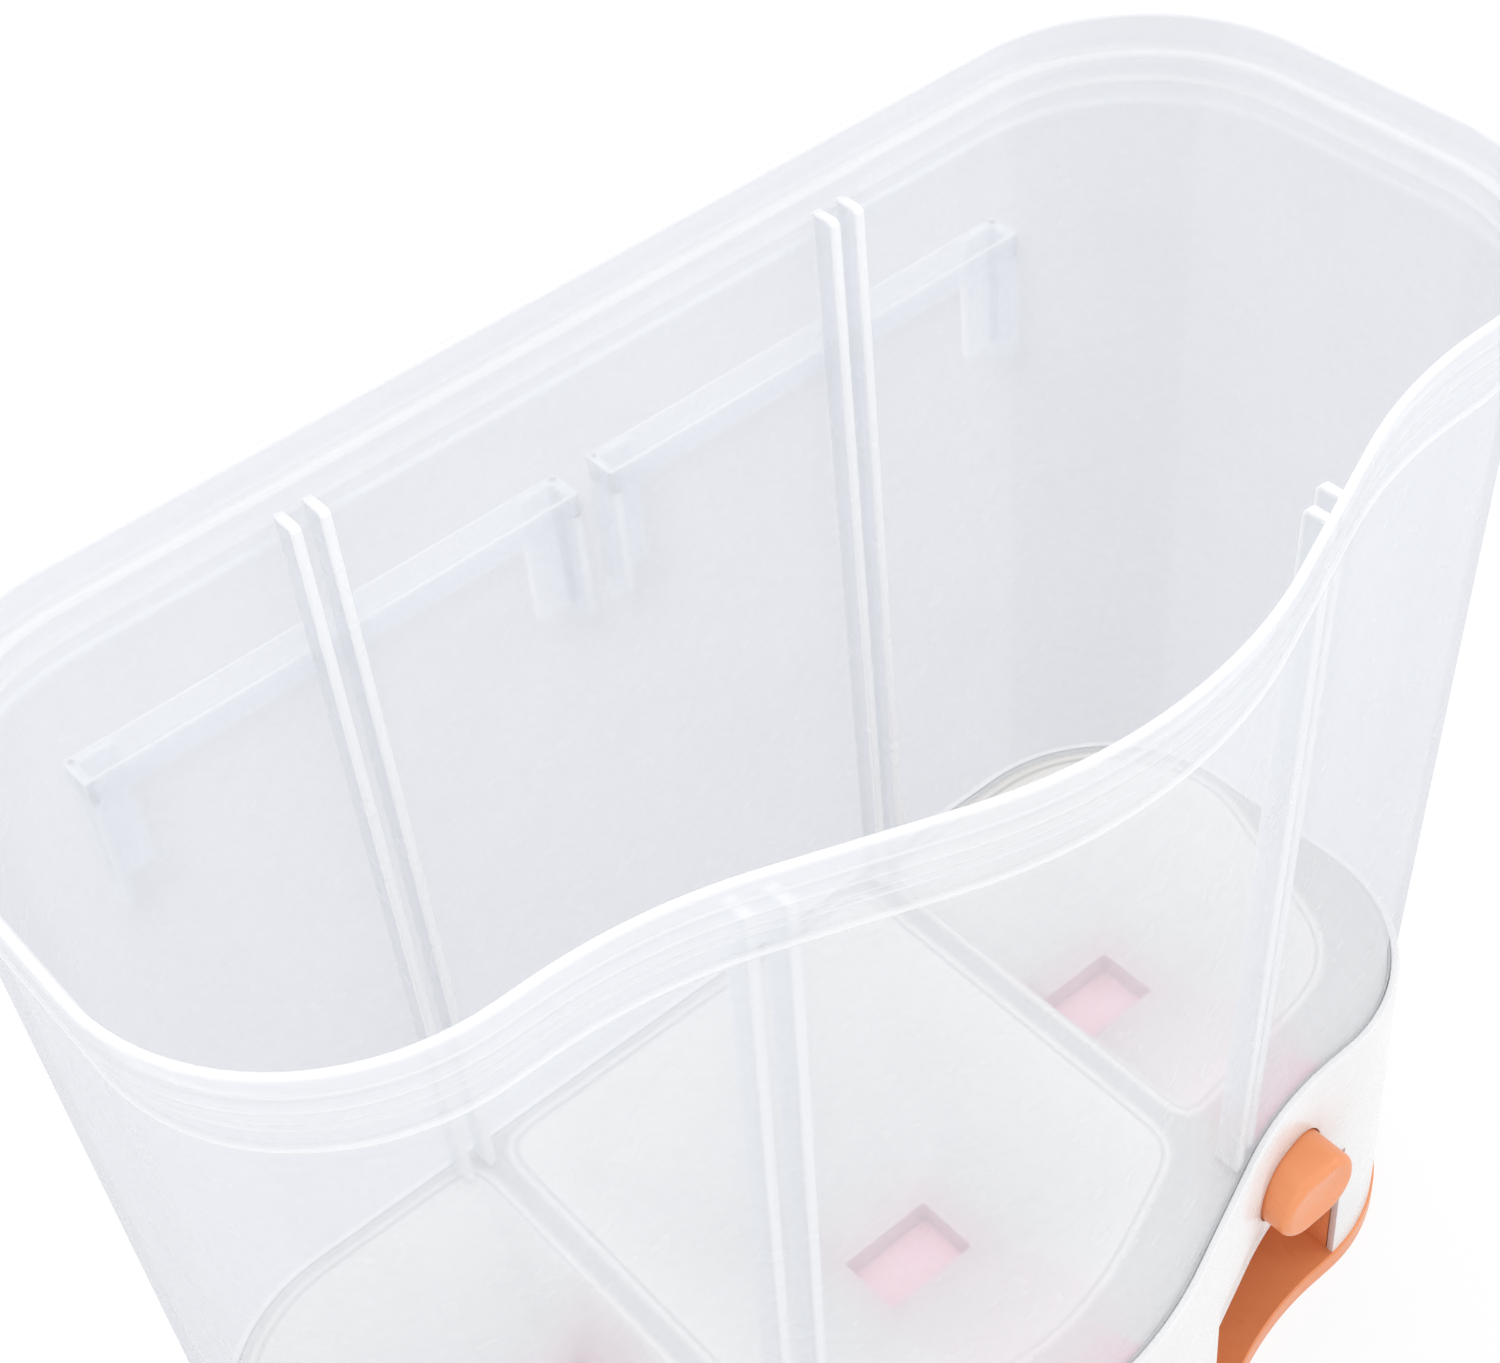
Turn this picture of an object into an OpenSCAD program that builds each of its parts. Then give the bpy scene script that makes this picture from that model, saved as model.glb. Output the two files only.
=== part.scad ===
// Three-compartment gravity dispenser: a translucent tank on a white base with
// three sprung gates, their push buttons and the orange chutes under them.
// Millimetres, +Z up, the front faces -Y, the origin is at the bottom centre.

/* [Tank] */
// Width over the rim collar
rim_w = 306; // [290:1:380]
// Depth over the rim collar, from the back to the crown of the front bulge
rim_d = 157; // [145:1:200]
// Height from the ground to the rim
total_h = 300; // [240:1:400]
// How far the front bulge stands out of the flat front
bulge = 26; // [16:1:30]
// Length of flat front between a corner and the bulge
front_flat = 6; // [2:1:14]
// Outer radius of the four corners of the collar
corner_r = 45; // [35:1:50]
// Wall thickness of the tank
wall = 2; // [1.6:0.1:2.6]
// Height of the collar that the lid closes on
collar_h = 15; // [10:1:20]
// How far the collar steps out of the wall
collar_step = 2.5; // [1.5:0.1:3]
// How far each side leans in from rim to base
side_lean = 6; // [2:0.5:8]
// How far the front leans in from rim to base
front_lean = 11; // [6:0.5:18]

/* [Divider guides] */
// Distance of each divider from the middle of the tank
guide_x = 63; // [56:1:70]
// Slot that a divider slides in
guide_slot = 4; // [2.6:0.1:4.4]
// Thickness of each guide fin
fin_t = 2.2; // [1.8:0.1:3.4]
// How far a fin stands out of the wall
fin_reach = 5.5; // [4:0.5:10]

/* [Hanger seats] */
// Width of each hanger seat on the back
seat_w = 111; // [90:1:116]
// Gap between the two seats
seat_gap = 8; // [4:1:20]
// Height of a seat, from its top bar to the ends of its legs
seat_h = 37; // [30:1:45]
// Distance from the rim down to the top bar
seat_drop = 47; // [35:1:60]
// Clear depth of the channel behind the lips
seat_channel = 5.5; // [4.5:0.1:7]
// Thickness of the seat's webs and lips
seat_t = 2; // [1.6:0.1:2.4]
// Width of the lip that holds the hanger plate
seat_lip = 10; // [7:0.5:12]

/* [Base] */
// Height of the base, from the ground to the upper edge of the hopper
base_h = 90; // [84:1:110]
// Wall thickness of the housing and the front panel
shell = 1.8; // [1.4:0.1:2.4]
// Height of the orange tray at the bottom
tray_h = 6; // [5:0.5:8]
// Distance from the back of the collar to the seam between housing and panel
seam_d = 86; // [70:1:90]
// Width of each chute mouth in the panel
mouth_w = 58; // [50:1:60]
// Height of each chute mouth above the tray
mouth_h = 45; // [36:1:46]
// Distance of the outer chutes from the middle
chute_x = 76; // [72:1:82]

/* [Gates] */
// Distance of the outer gates and buttons from the middle
gate_x = 82; // [78:1:84]
// Width of an outlet in the hopper floor
outlet_w = 24; // [18:1:26]
// Length of an outlet, front to back
outlet_l = 16; // [12:1:18]
// Distance of an outlet's centre behind the panel
gate_reach = 63; // [60:1:66]
// Travel of a gate from rest to its stop
gate_travel = 12; // [8:0.5:14]
// Thickness of a gate slide
slide_t = 2.4; // [2:0.1:3]
// Button width
button_w = 24; // [18:1:24]
// Button height
button_h = 19; // [14:1:19]
// How far a button stands out of the panel
button_proud = 10; // [7:0.5:14]
// Diameter of the wire of a return spring
wire_d = 0.8; // [0.6:0.1:1]
// Outer diameter of a return spring
spring_d = 7.2; // [6:0.2:8]

/* [Fits] */
// Gap round the tank's foot in the housing and round the hopper in the tank
nest_gap = 0.3; // [0.2:0.05:0.4]
// Gap between a sliding piece and its guide
slide_gap = 0.3; // [0.2:0.05:0.4]
// Gap round a button in its window
window_gap = 0.5; // [0.4:0.05:0.8]

/* [Hidden] */
milky = [0.93, 0.94, 0.96, 0.45];
white = [0.96, 0.96, 0.96];
orange = [0.93, 0.52, 0.32];
steel = [0.72, 0.73, 0.75];
eps = 0.01;
// How far a cutter runs past what it cuts
over = 1;

// The two outer mechanisms mirror each other, the middle one stands in the bulge.
LEFT = -1;
MIDDLE = 0;
RIGHT = 1;

seat_proud = seat_channel + seat_t - collar_step;
back_y = (rim_d - seat_proud) / 2;
half_w = rim_w / 2 - collar_step;
wall_d = rim_d - 2 * collar_step;
wall_r = corner_r - collar_step;
flat_d = wall_d - bulge;
lean_h = total_h - base_h;

// The bulge: an arc at the crown, a straight flank and an arc back into the flat.
bulge_reach = half_w - wall_r - front_flat;
flank_share = 1.54;
flank = flank_share * atan(bulge / bulge_reach);
bulge_r = (bulge_reach * sin(flank) - bulge * cos(flank)) / (2 * (1 - cos(flank)));
arc_steps = 9;
flank_steps = 6;

function arc(cx, cy, r, from, to, steps) =
    [for (i = [0:steps]) let (a = from + (to - from) * i / steps) [cx + r * cos(a), cy + r * sin(a)]];

// Front of the right half, from the corner to the crown, grown outwards by g.
function front_half(g) = concat(
    arc(half_w - wall_r, wall_r - flat_d, wall_r + g, 0, -90, arc_steps),
    arc(bulge_reach, -flat_d - bulge_r, bulge_r - g, 90, 90 + flank, flank_steps),
    arc(0, bulge_r - wall_d, bulge_r + g, flank - 90, -90, flank_steps));
function right_half(g) = concat(
    arc(half_w - wall_r, -wall_r, wall_r + g, 90, 0, arc_steps), front_half(g));
function outline(g) = let (half = right_half(g), n = len(half))
    concat(half, [for (i = [1:n - 1]) [-half[n - 1 - i][0], half[n - 1 - i][1]]]);

// The walls lean in towards the base, and the back stays upright.
function lean_x(z) = 1 - side_lean / half_w * (total_h - z) / lean_h;
function lean_y(z) = 1 - front_lean / wall_d * (total_h - z) / lean_h;
function outline_at(z, g) = [for (p = outline(g)) [p[0] * lean_x(z), p[1] * lean_y(z)]];
// Depth d is measured forwards from the back of the collar.
function y_at(d) = back_y - d;
function front_d(x, z, g) = let (h = front_half(g), n = len(h))
    collar_step + lookup(abs(x), [for (i = [n - 1:-1:0]) [h[i][0] * lean_x(z), -h[i][1] * lean_y(z)]]);

module upright(z0, z1, g, at_z = base_h) {
    translate([0, y_at(collar_step), z0])
        linear_extrude(height = z1 - z0)
            polygon(outline_at(at_z, g));
}

module leaning(z0, z1, g) {
    translate([0, y_at(collar_step), z0])
        linear_extrude(height = z1 - z0, slices = 1,
            scale = [lean_x(z1) / lean_x(z0), lean_y(z1) / lean_y(z0)])
            polygon(outline_at(z0, g));
}

// A block between two x, two depths and two heights.
module block(x0, x1, d0, d1, z0, z1) {
    translate([x0, y_at(d1), z0])
        cube([x1 - x0, d1 - d0, z1 - z0]);
}

// A side profile of [depth, height] points, extruded from x0 to x1.
module profile(x0, x1, points) {
    translate([x0, 0, 0])
        rotate([90, 0, 90])
            linear_extrude(height = x1 - x0)
                polygon([for (p = points) [y_at(p[0]), p[1]]]);
}

// Heights, from the ground up
shoulder_top = base_h - 12;
shoulder_t = 3;
collar_z = total_h - collar_h;
sheet = 2;
funnel_drop = 18;
land_z = base_h - funnel_drop;
throat_h = 4;
throat_z = land_z - sheet - throat_h;
slide_top = throat_z - slide_gap;
slide_z = slide_top - slide_t;
ledge_t = 2.2;
guide_z = slide_z - slide_gap - ledge_t;
button_z = slide_z + slide_t / 2 - button_h / 2;

// Plan sizes of the gates
slide_margin = 3.5;
slide_half = outlet_w / 2 + slide_margin;
guide_half = slide_half + slide_gap;
guide_wall = 2;
ledge_gap = 0.4;
ledge_half = button_w / 2 + ledge_gap;
outlet_front = gate_reach - outlet_l / 2;
outlet_rear = gate_reach + outlet_l / 2;
aperture_gap = 2;
slide_front = 12;
slide_tail = 4;
slide_rear = outlet_rear + slide_tail;
neck_l = 10;
tongue_w = 10;
tongue_tip = 4;
tongue_gap = 0.1;
spring_l = 29;
spring_end = 0.15;
peg_plate = 2;
peg_plate_w = 10;
guide_rear = slide_rear + spring_l;
guide_front = slide_front + gate_travel + slide_tail;
peg_gap = 0.6;
peg_r = spring_d / 2 - wire_d - peg_gap;
guide_peg = 6;
slide_peg = 4;
button_round = min(9, button_h / 2 - 0.5);
spring_turns = 7;
turn_slices = 12;

// The panel's outer face and the depth of each gate's panel point
panel_g = nest_gap + shell;
function gate_at(side) = side * gate_x;
function face_d(side) = front_d(gate_at(side), base_h, panel_g);
function chute_at(side) = side * chute_x;

// ---------------------------------------------------------------- tank

step_t = 3;
bead_h = 2;
bead_drop = 4;
bead_g = 1;
fin_top = collar_z + step_t - 1;
fin_foot = base_h + 1;
fin_chamfer = 1;
fin_root = 1;

module back_fin(x) {
    d0 = collar_step + wall;
    profile(x - fin_t / 2, x + fin_t / 2, [
        [d0 - fin_root, fin_foot],
        [d0 + fin_reach, fin_foot],
        [d0 + fin_reach, fin_top - fin_chamfer],
        [d0 + fin_reach - fin_chamfer, fin_top],
        [d0 - fin_root, fin_top]]);
}

module front_fin(x) {
    top_d = front_d(x, fin_top, -wall);
    foot_d = front_d(x, fin_foot, -wall);
    profile(x - fin_t / 2, x + fin_t / 2, [
        [foot_d + fin_root, fin_foot],
        [foot_d - fin_reach, fin_foot],
        [top_d - fin_reach, fin_top - fin_chamfer],
        [top_d - fin_reach + fin_chamfer, fin_top],
        [top_d + fin_root, fin_top]]);
}

// One hanger seat: a top bar and two legs with lips, open at the bottom.
seat_top = total_h - seat_drop;
seat_foot = seat_top - seat_h;
seat_bar = 6;
seat_root = 0.5;
seat_point = 5;

module seat_leg(x0, inward) {
    web = [x0, x0 + inward * seat_t];
    lip = [x0, x0 + inward * seat_lip];
    block(min(web), max(web), -seat_proud, collar_step + seat_root, seat_foot + seat_point, seat_top);
    block(min(lip), max(lip), -seat_proud, seat_t - seat_proud, seat_foot + seat_point, seat_top);
    profile(min(web), max(web), [
        [-seat_proud, seat_foot + seat_point],
        [seat_t - seat_proud, seat_foot],
        [collar_step + seat_root, seat_foot + seat_point]]);
}

module hanger_seat(side) {
    inner = side * seat_gap / 2;
    outer = side * (seat_gap / 2 + seat_w);
    block(min(inner, outer), max(inner, outer), -seat_proud, collar_step + seat_root,
        seat_top - seat_bar, seat_top);
    seat_leg(inner, side);
    seat_leg(outer, -side);
}

module tank() {
    color(milky) {
        difference() {
            union() {
                leaning(shoulder_top, collar_z + over, 0);
                upright(collar_z, total_h, collar_step, total_h);
                upright(collar_z - bead_drop - bead_h, collar_z - bead_drop, bead_g,
                    collar_z - bead_drop);
            }
            leaning(shoulder_top - over, collar_z + step_t, -wall);
            upright(collar_z + step_t, total_h + over, collar_step - wall, total_h);
        }
        for (side = [LEFT, RIGHT], fin = [-1, 1]) {
            x = side * guide_x + fin * (guide_slot + fin_t) / 2;
            back_fin(x);
            front_fin(x);
        }
        hanger_seat(LEFT);
        hanger_seat(RIGHT);
    }
}

// ---------------------------------------------------------------- hopper floor

hopper_g = -wall - nest_gap;
// The middle funnel stops this far short of a divider, the outer ones start at it.
ridge_w = 8;
funnel_margin = 16;
back_margin = 2;
// The narrow back margin runs to this far behind the middle of the outlet.
back_part = 12;
mouth_slab = 0.5;

// Plan of a funnel's upper edge: the hopper's outline drawn in by a margin, from the ridge
// outwards and as far forwards as depth d.
module funnel_edge(side, z, margin, d, grow) {
    x_in = side == MIDDLE ? ridge_w - guide_x - grow : guide_x - grow;
    x_out = side == MIDDLE ? guide_x - ridge_w + grow : half_w;
    mirror([side == LEFT ? 1 : 0, 0, 0])
        intersection() {
            upright(z, z + mouth_slab, hopper_g - margin + grow);
            block(x_in, x_out, 0, d, z - over, z + mouth_slab + over);
        }
}

// The rectangle over an outlet, grown by the sheet for the outside.
module outlet_block(side, grow, z0, z1) {
    block(gate_at(side) - outlet_w / 2 - grow, gate_at(side) + outlet_w / 2 + grow,
        face_d(side) - outlet_rear - grow, face_d(side) - outlet_front + grow, z0, z1);
}

// The funnel of one compartment, grown by the sheet for its outside.
module funnel(side, grow) {
    top_z = grow > 0 ? base_h - mouth_slab : base_h + eps;
    hull() {
        funnel_edge(side, top_z, funnel_margin, rim_d, grow);
        funnel_edge(side, top_z, back_margin, face_d(side) - gate_reach - back_part, grow / 2);
        outlet_block(side, grow, land_z - grow, land_z - grow + mouth_slab);
    }
}

module hopper_floor() {
    color(white)
        difference() {
            union() {
                upright(base_h - sheet, base_h, hopper_g, shoulder_top);
                difference() {
                    upright(shoulder_top, base_h, hopper_g, shoulder_top);
                    upright(shoulder_top - over, base_h, hopper_g - sheet, shoulder_top);
                }
                for (side = [LEFT, MIDDLE, RIGHT]) {
                    funnel(side, sheet);
                    outlet_block(side, sheet, throat_z, land_z);
                    for (edge = [-1, 1]) {
                        x = gate_at(side) + edge * (guide_half + guide_wall / 2);
                        block(x - guide_wall / 2, x + guide_wall / 2,
                            face_d(side) - guide_rear - guide_wall, face_d(side) - guide_front,
                            land_z - sheet, base_h - sheet);
                    }
                }
            }
            for (side = [LEFT, MIDDLE, RIGHT]) {
                funnel(side, 0);
                outlet_block(side, 0, throat_z - over, land_z + over);
            }
        }
}

// ---------------------------------------------------------------- housing and panel

boss_r = 4.5;
boss_root = 1;
boss_h = 34;
pilot_r = 1.55;
pilot_h = 16;
screw_r = 1.5;
hole_r = 1.8;
head_r = 3;
head_h = 2;
head_gap = 0.5;
shoulder_reach = wall + nest_gap + sheet + 1;
// The chute mouths start this far in front of the seam.
mouth_inset = 8;
screw_bite = 14;

rear_boss_x = 58;
rear_boss_d = collar_step + boss_r - boss_root;
side_boss_d = 62;
side_boss_x = half_w * lean_x(base_h) - boss_r + boss_root;
BOSSES = [
    [-rear_boss_x, rear_boss_d], [rear_boss_x, rear_boss_d],
    [-side_boss_x, side_boss_d], [side_boss_x, side_boss_d]];
// Between the middle chute and each outer one, on the inside of the panel
panel_boss_x = chute_x / 2;
panel_boss_d = front_d(panel_boss_x, base_h, 0) - boss_r + boss_root;
PANEL_BOSSES = [[-panel_boss_x, panel_boss_d], [panel_boss_x, panel_boss_d]];

module skirt() {
    difference() {
        upright(tray_h, base_h, panel_g);
        upright(tray_h - over, shoulder_top - shoulder_t, nest_gap);
        upright(shoulder_top, base_h + over, nest_gap);
        upright(shoulder_top - shoulder_t - over, base_h, -shoulder_reach);
    }
}

module bosses(places) {
    for (p = places)
        translate([p[0], y_at(p[1]), tray_h])
            cylinder(r = boss_r, h = boss_h, $fn = 48);
}

module pilots(places) {
    for (p = places)
        translate([p[0], y_at(p[1]), tray_h - over])
            cylinder(r = pilot_r, h = pilot_h + over, $fn = 48);
}

module base_housing() {
    color(white)
        difference() {
            union() {
                skirt();
                intersection() {
                    upright(tray_h, shoulder_top, nest_gap + shell / 2);
                    bosses(BOSSES);
                }
            }
            pilots(BOSSES);
            block(-rim_w, rim_w, seam_d, rim_d + rim_w, 0, total_h);
        }
}

// Nearly round outline of a button, grown by a gap and centred on its lower edge.
module button_outline(gap) {
    r = button_round + gap;
    wide = button_w + 2 * gap;
    tall = button_h + 2 * gap;
    translate([-wide / 2, -gap]) {
        translate([r, 0])
            square([wide - 2 * r, tall]);
        translate([0, r])
            square([wide, tall - 2 * r]);
        for (x = [r, wide - r], z = [r, tall - r])
            translate([x, z])
                circle(r = r, $fn = 96);
    }
}

module window(side) {
    translate([gate_at(side), y_at(seam_d + over), button_z])
        rotate([90, 0, 0])
            linear_extrude(height = rim_d - seam_d)
                button_outline(window_gap);
}

module chute_mouth(side) {
    block(chute_at(side) - mouth_w / 2, chute_at(side) + mouth_w / 2, seam_d + mouth_inset, rim_d + over,
        tray_h - over, tray_h + mouth_h);
}

module front_panel() {
    color(white)
        difference() {
            union() {
                skirt();
                intersection() {
                    upright(tray_h, shoulder_top, nest_gap + shell / 2);
                    bosses(PANEL_BOSSES);
                }
            }
            pilots(PANEL_BOSSES);
            block(-rim_w, rim_w, -rim_d, seam_d, 0, total_h);
            for (side = [LEFT, MIDDLE, RIGHT]) {
                window(side);
                chute_mouth(side);
            }
        }
}

// ---------------------------------------------------------------- tray and chutes

tray_proud = 0.6;
tray_plate = 3;
tray_rim = 4;

module base_tray() {
    color(orange)
        difference() {
            upright(0, tray_h, panel_g + tray_proud);
            upright(-over, tray_h - tray_plate, panel_g + tray_proud - tray_rim);
            for (p = concat(BOSSES, PANEL_BOSSES))
                translate([p[0], y_at(p[1]), -over]) {
                    cylinder(r = hole_r, h = tray_h + 2 * over, $fn = 48);
                    cylinder(r = head_r + head_gap, h = tray_h - tray_plate + over, $fn = 48);
                }
        }
}

module tray_screws() {
    color(steel)
        for (p = concat(BOSSES, PANEL_BOSSES))
            translate([p[0], y_at(p[1]), tray_h - tray_plate - head_h]) {
                cylinder(r = head_r, h = head_h, $fn = 48);
                cylinder(r = screw_r, h = head_h + tray_plate + screw_bite, $fn = 48);
            }
}

chute_t = 2;
chute_h = 52;
ramp_rear = 80;
ramp_front = 24;
ramp_h = 44;
ramp_t = 3.2;
ramp_toe = 4;

module chute(side) {
    x0 = chute_at(side) - mouth_w / 2;
    x1 = chute_at(side) + mouth_w / 2;
    d0 = face_d(side) - ramp_rear;
    foot_d = face_d(side) - ramp_front;
    color(orange)
        intersection() {
            upright(tray_h, tray_h + chute_h, -slide_gap);
            union() {
                block(x0 - chute_t, x0, d0, rim_d, tray_h, tray_h + chute_h);
                block(x1, x1 + chute_t, d0, rim_d, tray_h, tray_h + chute_h);
                block(x0 - chute_t, x1 + chute_t, d0 - chute_t, d0, tray_h, tray_h + chute_h);
                profile(x0 - eps, x1 + eps, [
                    [d0 - eps, tray_h + ramp_h],
                    [foot_d, tray_h],
                    [foot_d - ramp_toe, tray_h],
                    [d0 - eps, tray_h + ramp_h - ramp_t]]);
            }
        }
}

// ---------------------------------------------------------------- gates

module gate_guide(side) {
    x = gate_at(side);
    face = face_d(side);
    color(white) {
        for (edge = [-1, 1]) {
            inner = x + edge * ledge_half;
            wall_in = x + edge * guide_half;
            outer = x + edge * (guide_half + guide_wall);
            block(min(wall_in, outer), max(wall_in, outer), face - guide_rear - guide_wall,
                face - guide_front, guide_z, land_z - sheet);
            block(min(inner, outer), max(inner, outer), face - guide_rear - guide_wall,
                face - guide_front, guide_z, guide_z + ledge_t);
        }
        block(x - guide_half - guide_wall, x + guide_half + guide_wall,
            face - guide_rear - guide_wall, face - guide_rear, guide_z, land_z - sheet);
        translate([x, y_at(face - guide_rear), slide_z + slide_t / 2])
            rotate([90, 0, 0])
                cylinder(r = peg_r, h = guide_peg, $fn = 32);
    }
}

module gate_slide(side) {
    x = gate_at(side);
    face = face_d(side);
    color(orange) {
        difference() {
            block(x - slide_half, x + slide_half, face - slide_rear, face - slide_front,
                slide_z, slide_top);
            block(x - outlet_w / 2, x + outlet_w / 2, face - outlet_front + aperture_gap,
                face - outlet_front + aperture_gap + outlet_l, slide_z - over, slide_top + over);
            for (edge = [-1, 1]) {
                front = x + edge * ledge_half;
                outer = x + edge * (slide_half + over);
                block(min(front, outer), max(front, outer), face - slide_front - neck_l,
                    face - slide_front + over, slide_z - over, slide_top + over);
            }
        }
        block(x - tongue_w / 2, x + tongue_w / 2, face - slide_front - eps, face - tongue_tip,
            slide_z, slide_top);
        block(x - peg_plate_w / 2, x + peg_plate_w / 2, face - slide_rear - peg_plate,
            face - slide_rear + peg_plate, slide_z - peg_plate, slide_top);
        translate([x, y_at(face - slide_rear - peg_plate), slide_z + slide_t / 2])
            rotate([-90, 0, 0])
                cylinder(r = peg_r, h = slide_peg, $fn = 32);
    }
}

module push_button(side) {
    x = gate_at(side);
    face = face_d(side);
    color(orange)
        difference() {
            translate([x, y_at(face - slide_front), button_z])
                rotate([90, 0, 0])
                    linear_extrude(height = button_proud + slide_front)
                        button_outline(0);
            block(x - tongue_w / 2 - tongue_gap, x + tongue_w / 2 + tongue_gap,
                face - slide_front - over, face - tongue_tip + 2 * tongue_gap,
                slide_z - tongue_gap, slide_top + tongue_gap);
        }
}

// A coil of rectangular wire: a short ring segment, extruded and twisted.
module gate_spring(side) {
    x = gate_at(side);
    coil_l = spring_l - peg_plate - 2 * spring_end;
    pitch = coil_l / spring_turns;
    span = 360 * wire_d / pitch;
    wire_steps = 2;
    r_out = spring_d / 2;
    r_in = r_out - wire_d;
    color(steel)
        translate([x, y_at(face_d(side) - slide_rear - peg_plate - spring_end), slide_z + slide_t / 2])
            rotate([-90, 0, 0])
                linear_extrude(height = coil_l, twist = 360 * (spring_turns - span / 360),
                    slices = spring_turns * turn_slices)
                    polygon(concat(arc(0, 0, r_out, 0, span, wire_steps),
                        arc(0, 0, r_in, span, 0, wire_steps)));
}

tank();
hopper_floor();
base_housing();
front_panel();
base_tray();
tray_screws();
chute(LEFT);  // chute_left
chute(MIDDLE);  // chute_middle
chute(RIGHT);  // chute_right
gate_guide(LEFT);  // gate_guide_left
gate_guide(MIDDLE);  // gate_guide_middle
gate_guide(RIGHT);  // gate_guide_right
gate_slide(LEFT);  // gate_slide_left
gate_slide(MIDDLE);  // gate_slide_middle
gate_slide(RIGHT);  // gate_slide_right
gate_spring(LEFT);  // gate_spring_left
gate_spring(MIDDLE);  // gate_spring_middle
gate_spring(RIGHT);  // gate_spring_right
push_button(LEFT);  // push_button_left
push_button(MIDDLE);  // push_button_middle
push_button(RIGHT);  // push_button_right
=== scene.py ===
"""Looks of a wall-hung dispenser tank on a white base with sprung gates and orange chutes.

Sizes in the classes are millimetres in the part's own frame: +Z up, the front towards -Y.
Meshes are turned to metres when they are made.
"""

import logging
import math
from dataclasses import dataclass
from enum import Enum
from typing import Callable, Iterable, Sequence

import bmesh
import bpy
from mathutils import Matrix, Vector, geometry


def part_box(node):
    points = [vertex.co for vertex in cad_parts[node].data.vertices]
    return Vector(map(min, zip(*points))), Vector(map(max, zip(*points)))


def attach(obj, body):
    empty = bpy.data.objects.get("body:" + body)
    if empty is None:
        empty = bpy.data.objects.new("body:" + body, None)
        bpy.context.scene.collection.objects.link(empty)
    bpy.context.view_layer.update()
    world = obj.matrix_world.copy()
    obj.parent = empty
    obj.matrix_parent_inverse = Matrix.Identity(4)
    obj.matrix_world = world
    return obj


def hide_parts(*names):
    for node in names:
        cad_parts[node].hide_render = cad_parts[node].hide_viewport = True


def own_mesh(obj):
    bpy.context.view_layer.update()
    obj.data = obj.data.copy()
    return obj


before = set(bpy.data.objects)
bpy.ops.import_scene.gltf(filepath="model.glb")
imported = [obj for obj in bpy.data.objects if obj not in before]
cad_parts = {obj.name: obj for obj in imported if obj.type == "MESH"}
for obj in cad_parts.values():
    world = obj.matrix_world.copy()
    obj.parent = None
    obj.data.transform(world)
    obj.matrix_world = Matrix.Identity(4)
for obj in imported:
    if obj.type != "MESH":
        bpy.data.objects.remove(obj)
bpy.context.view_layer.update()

LOG = logging.getLogger("dispenser")
MM = 0.001
PEEL_DEPTH = 0.1 * MM
Object = bpy.types.Object
Tree = bpy.types.NodeTree
Node = bpy.types.Node
Socket = bpy.types.NodeSocket
BMesh = bmesh.types.BMesh
Point2 = tuple[float, float]
Point3 = tuple[float, float, float]


class Side(Enum):
    """The three gates from left to right, seen from the front."""

    LEFT = -1
    MIDDLE = 0
    RIGHT = 1

    @property
    def word(self) -> str:
        """The ending of the node names on this side."""
        return self.name.lower()


# ---------------------------------------------------------------- shape of the plan


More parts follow.
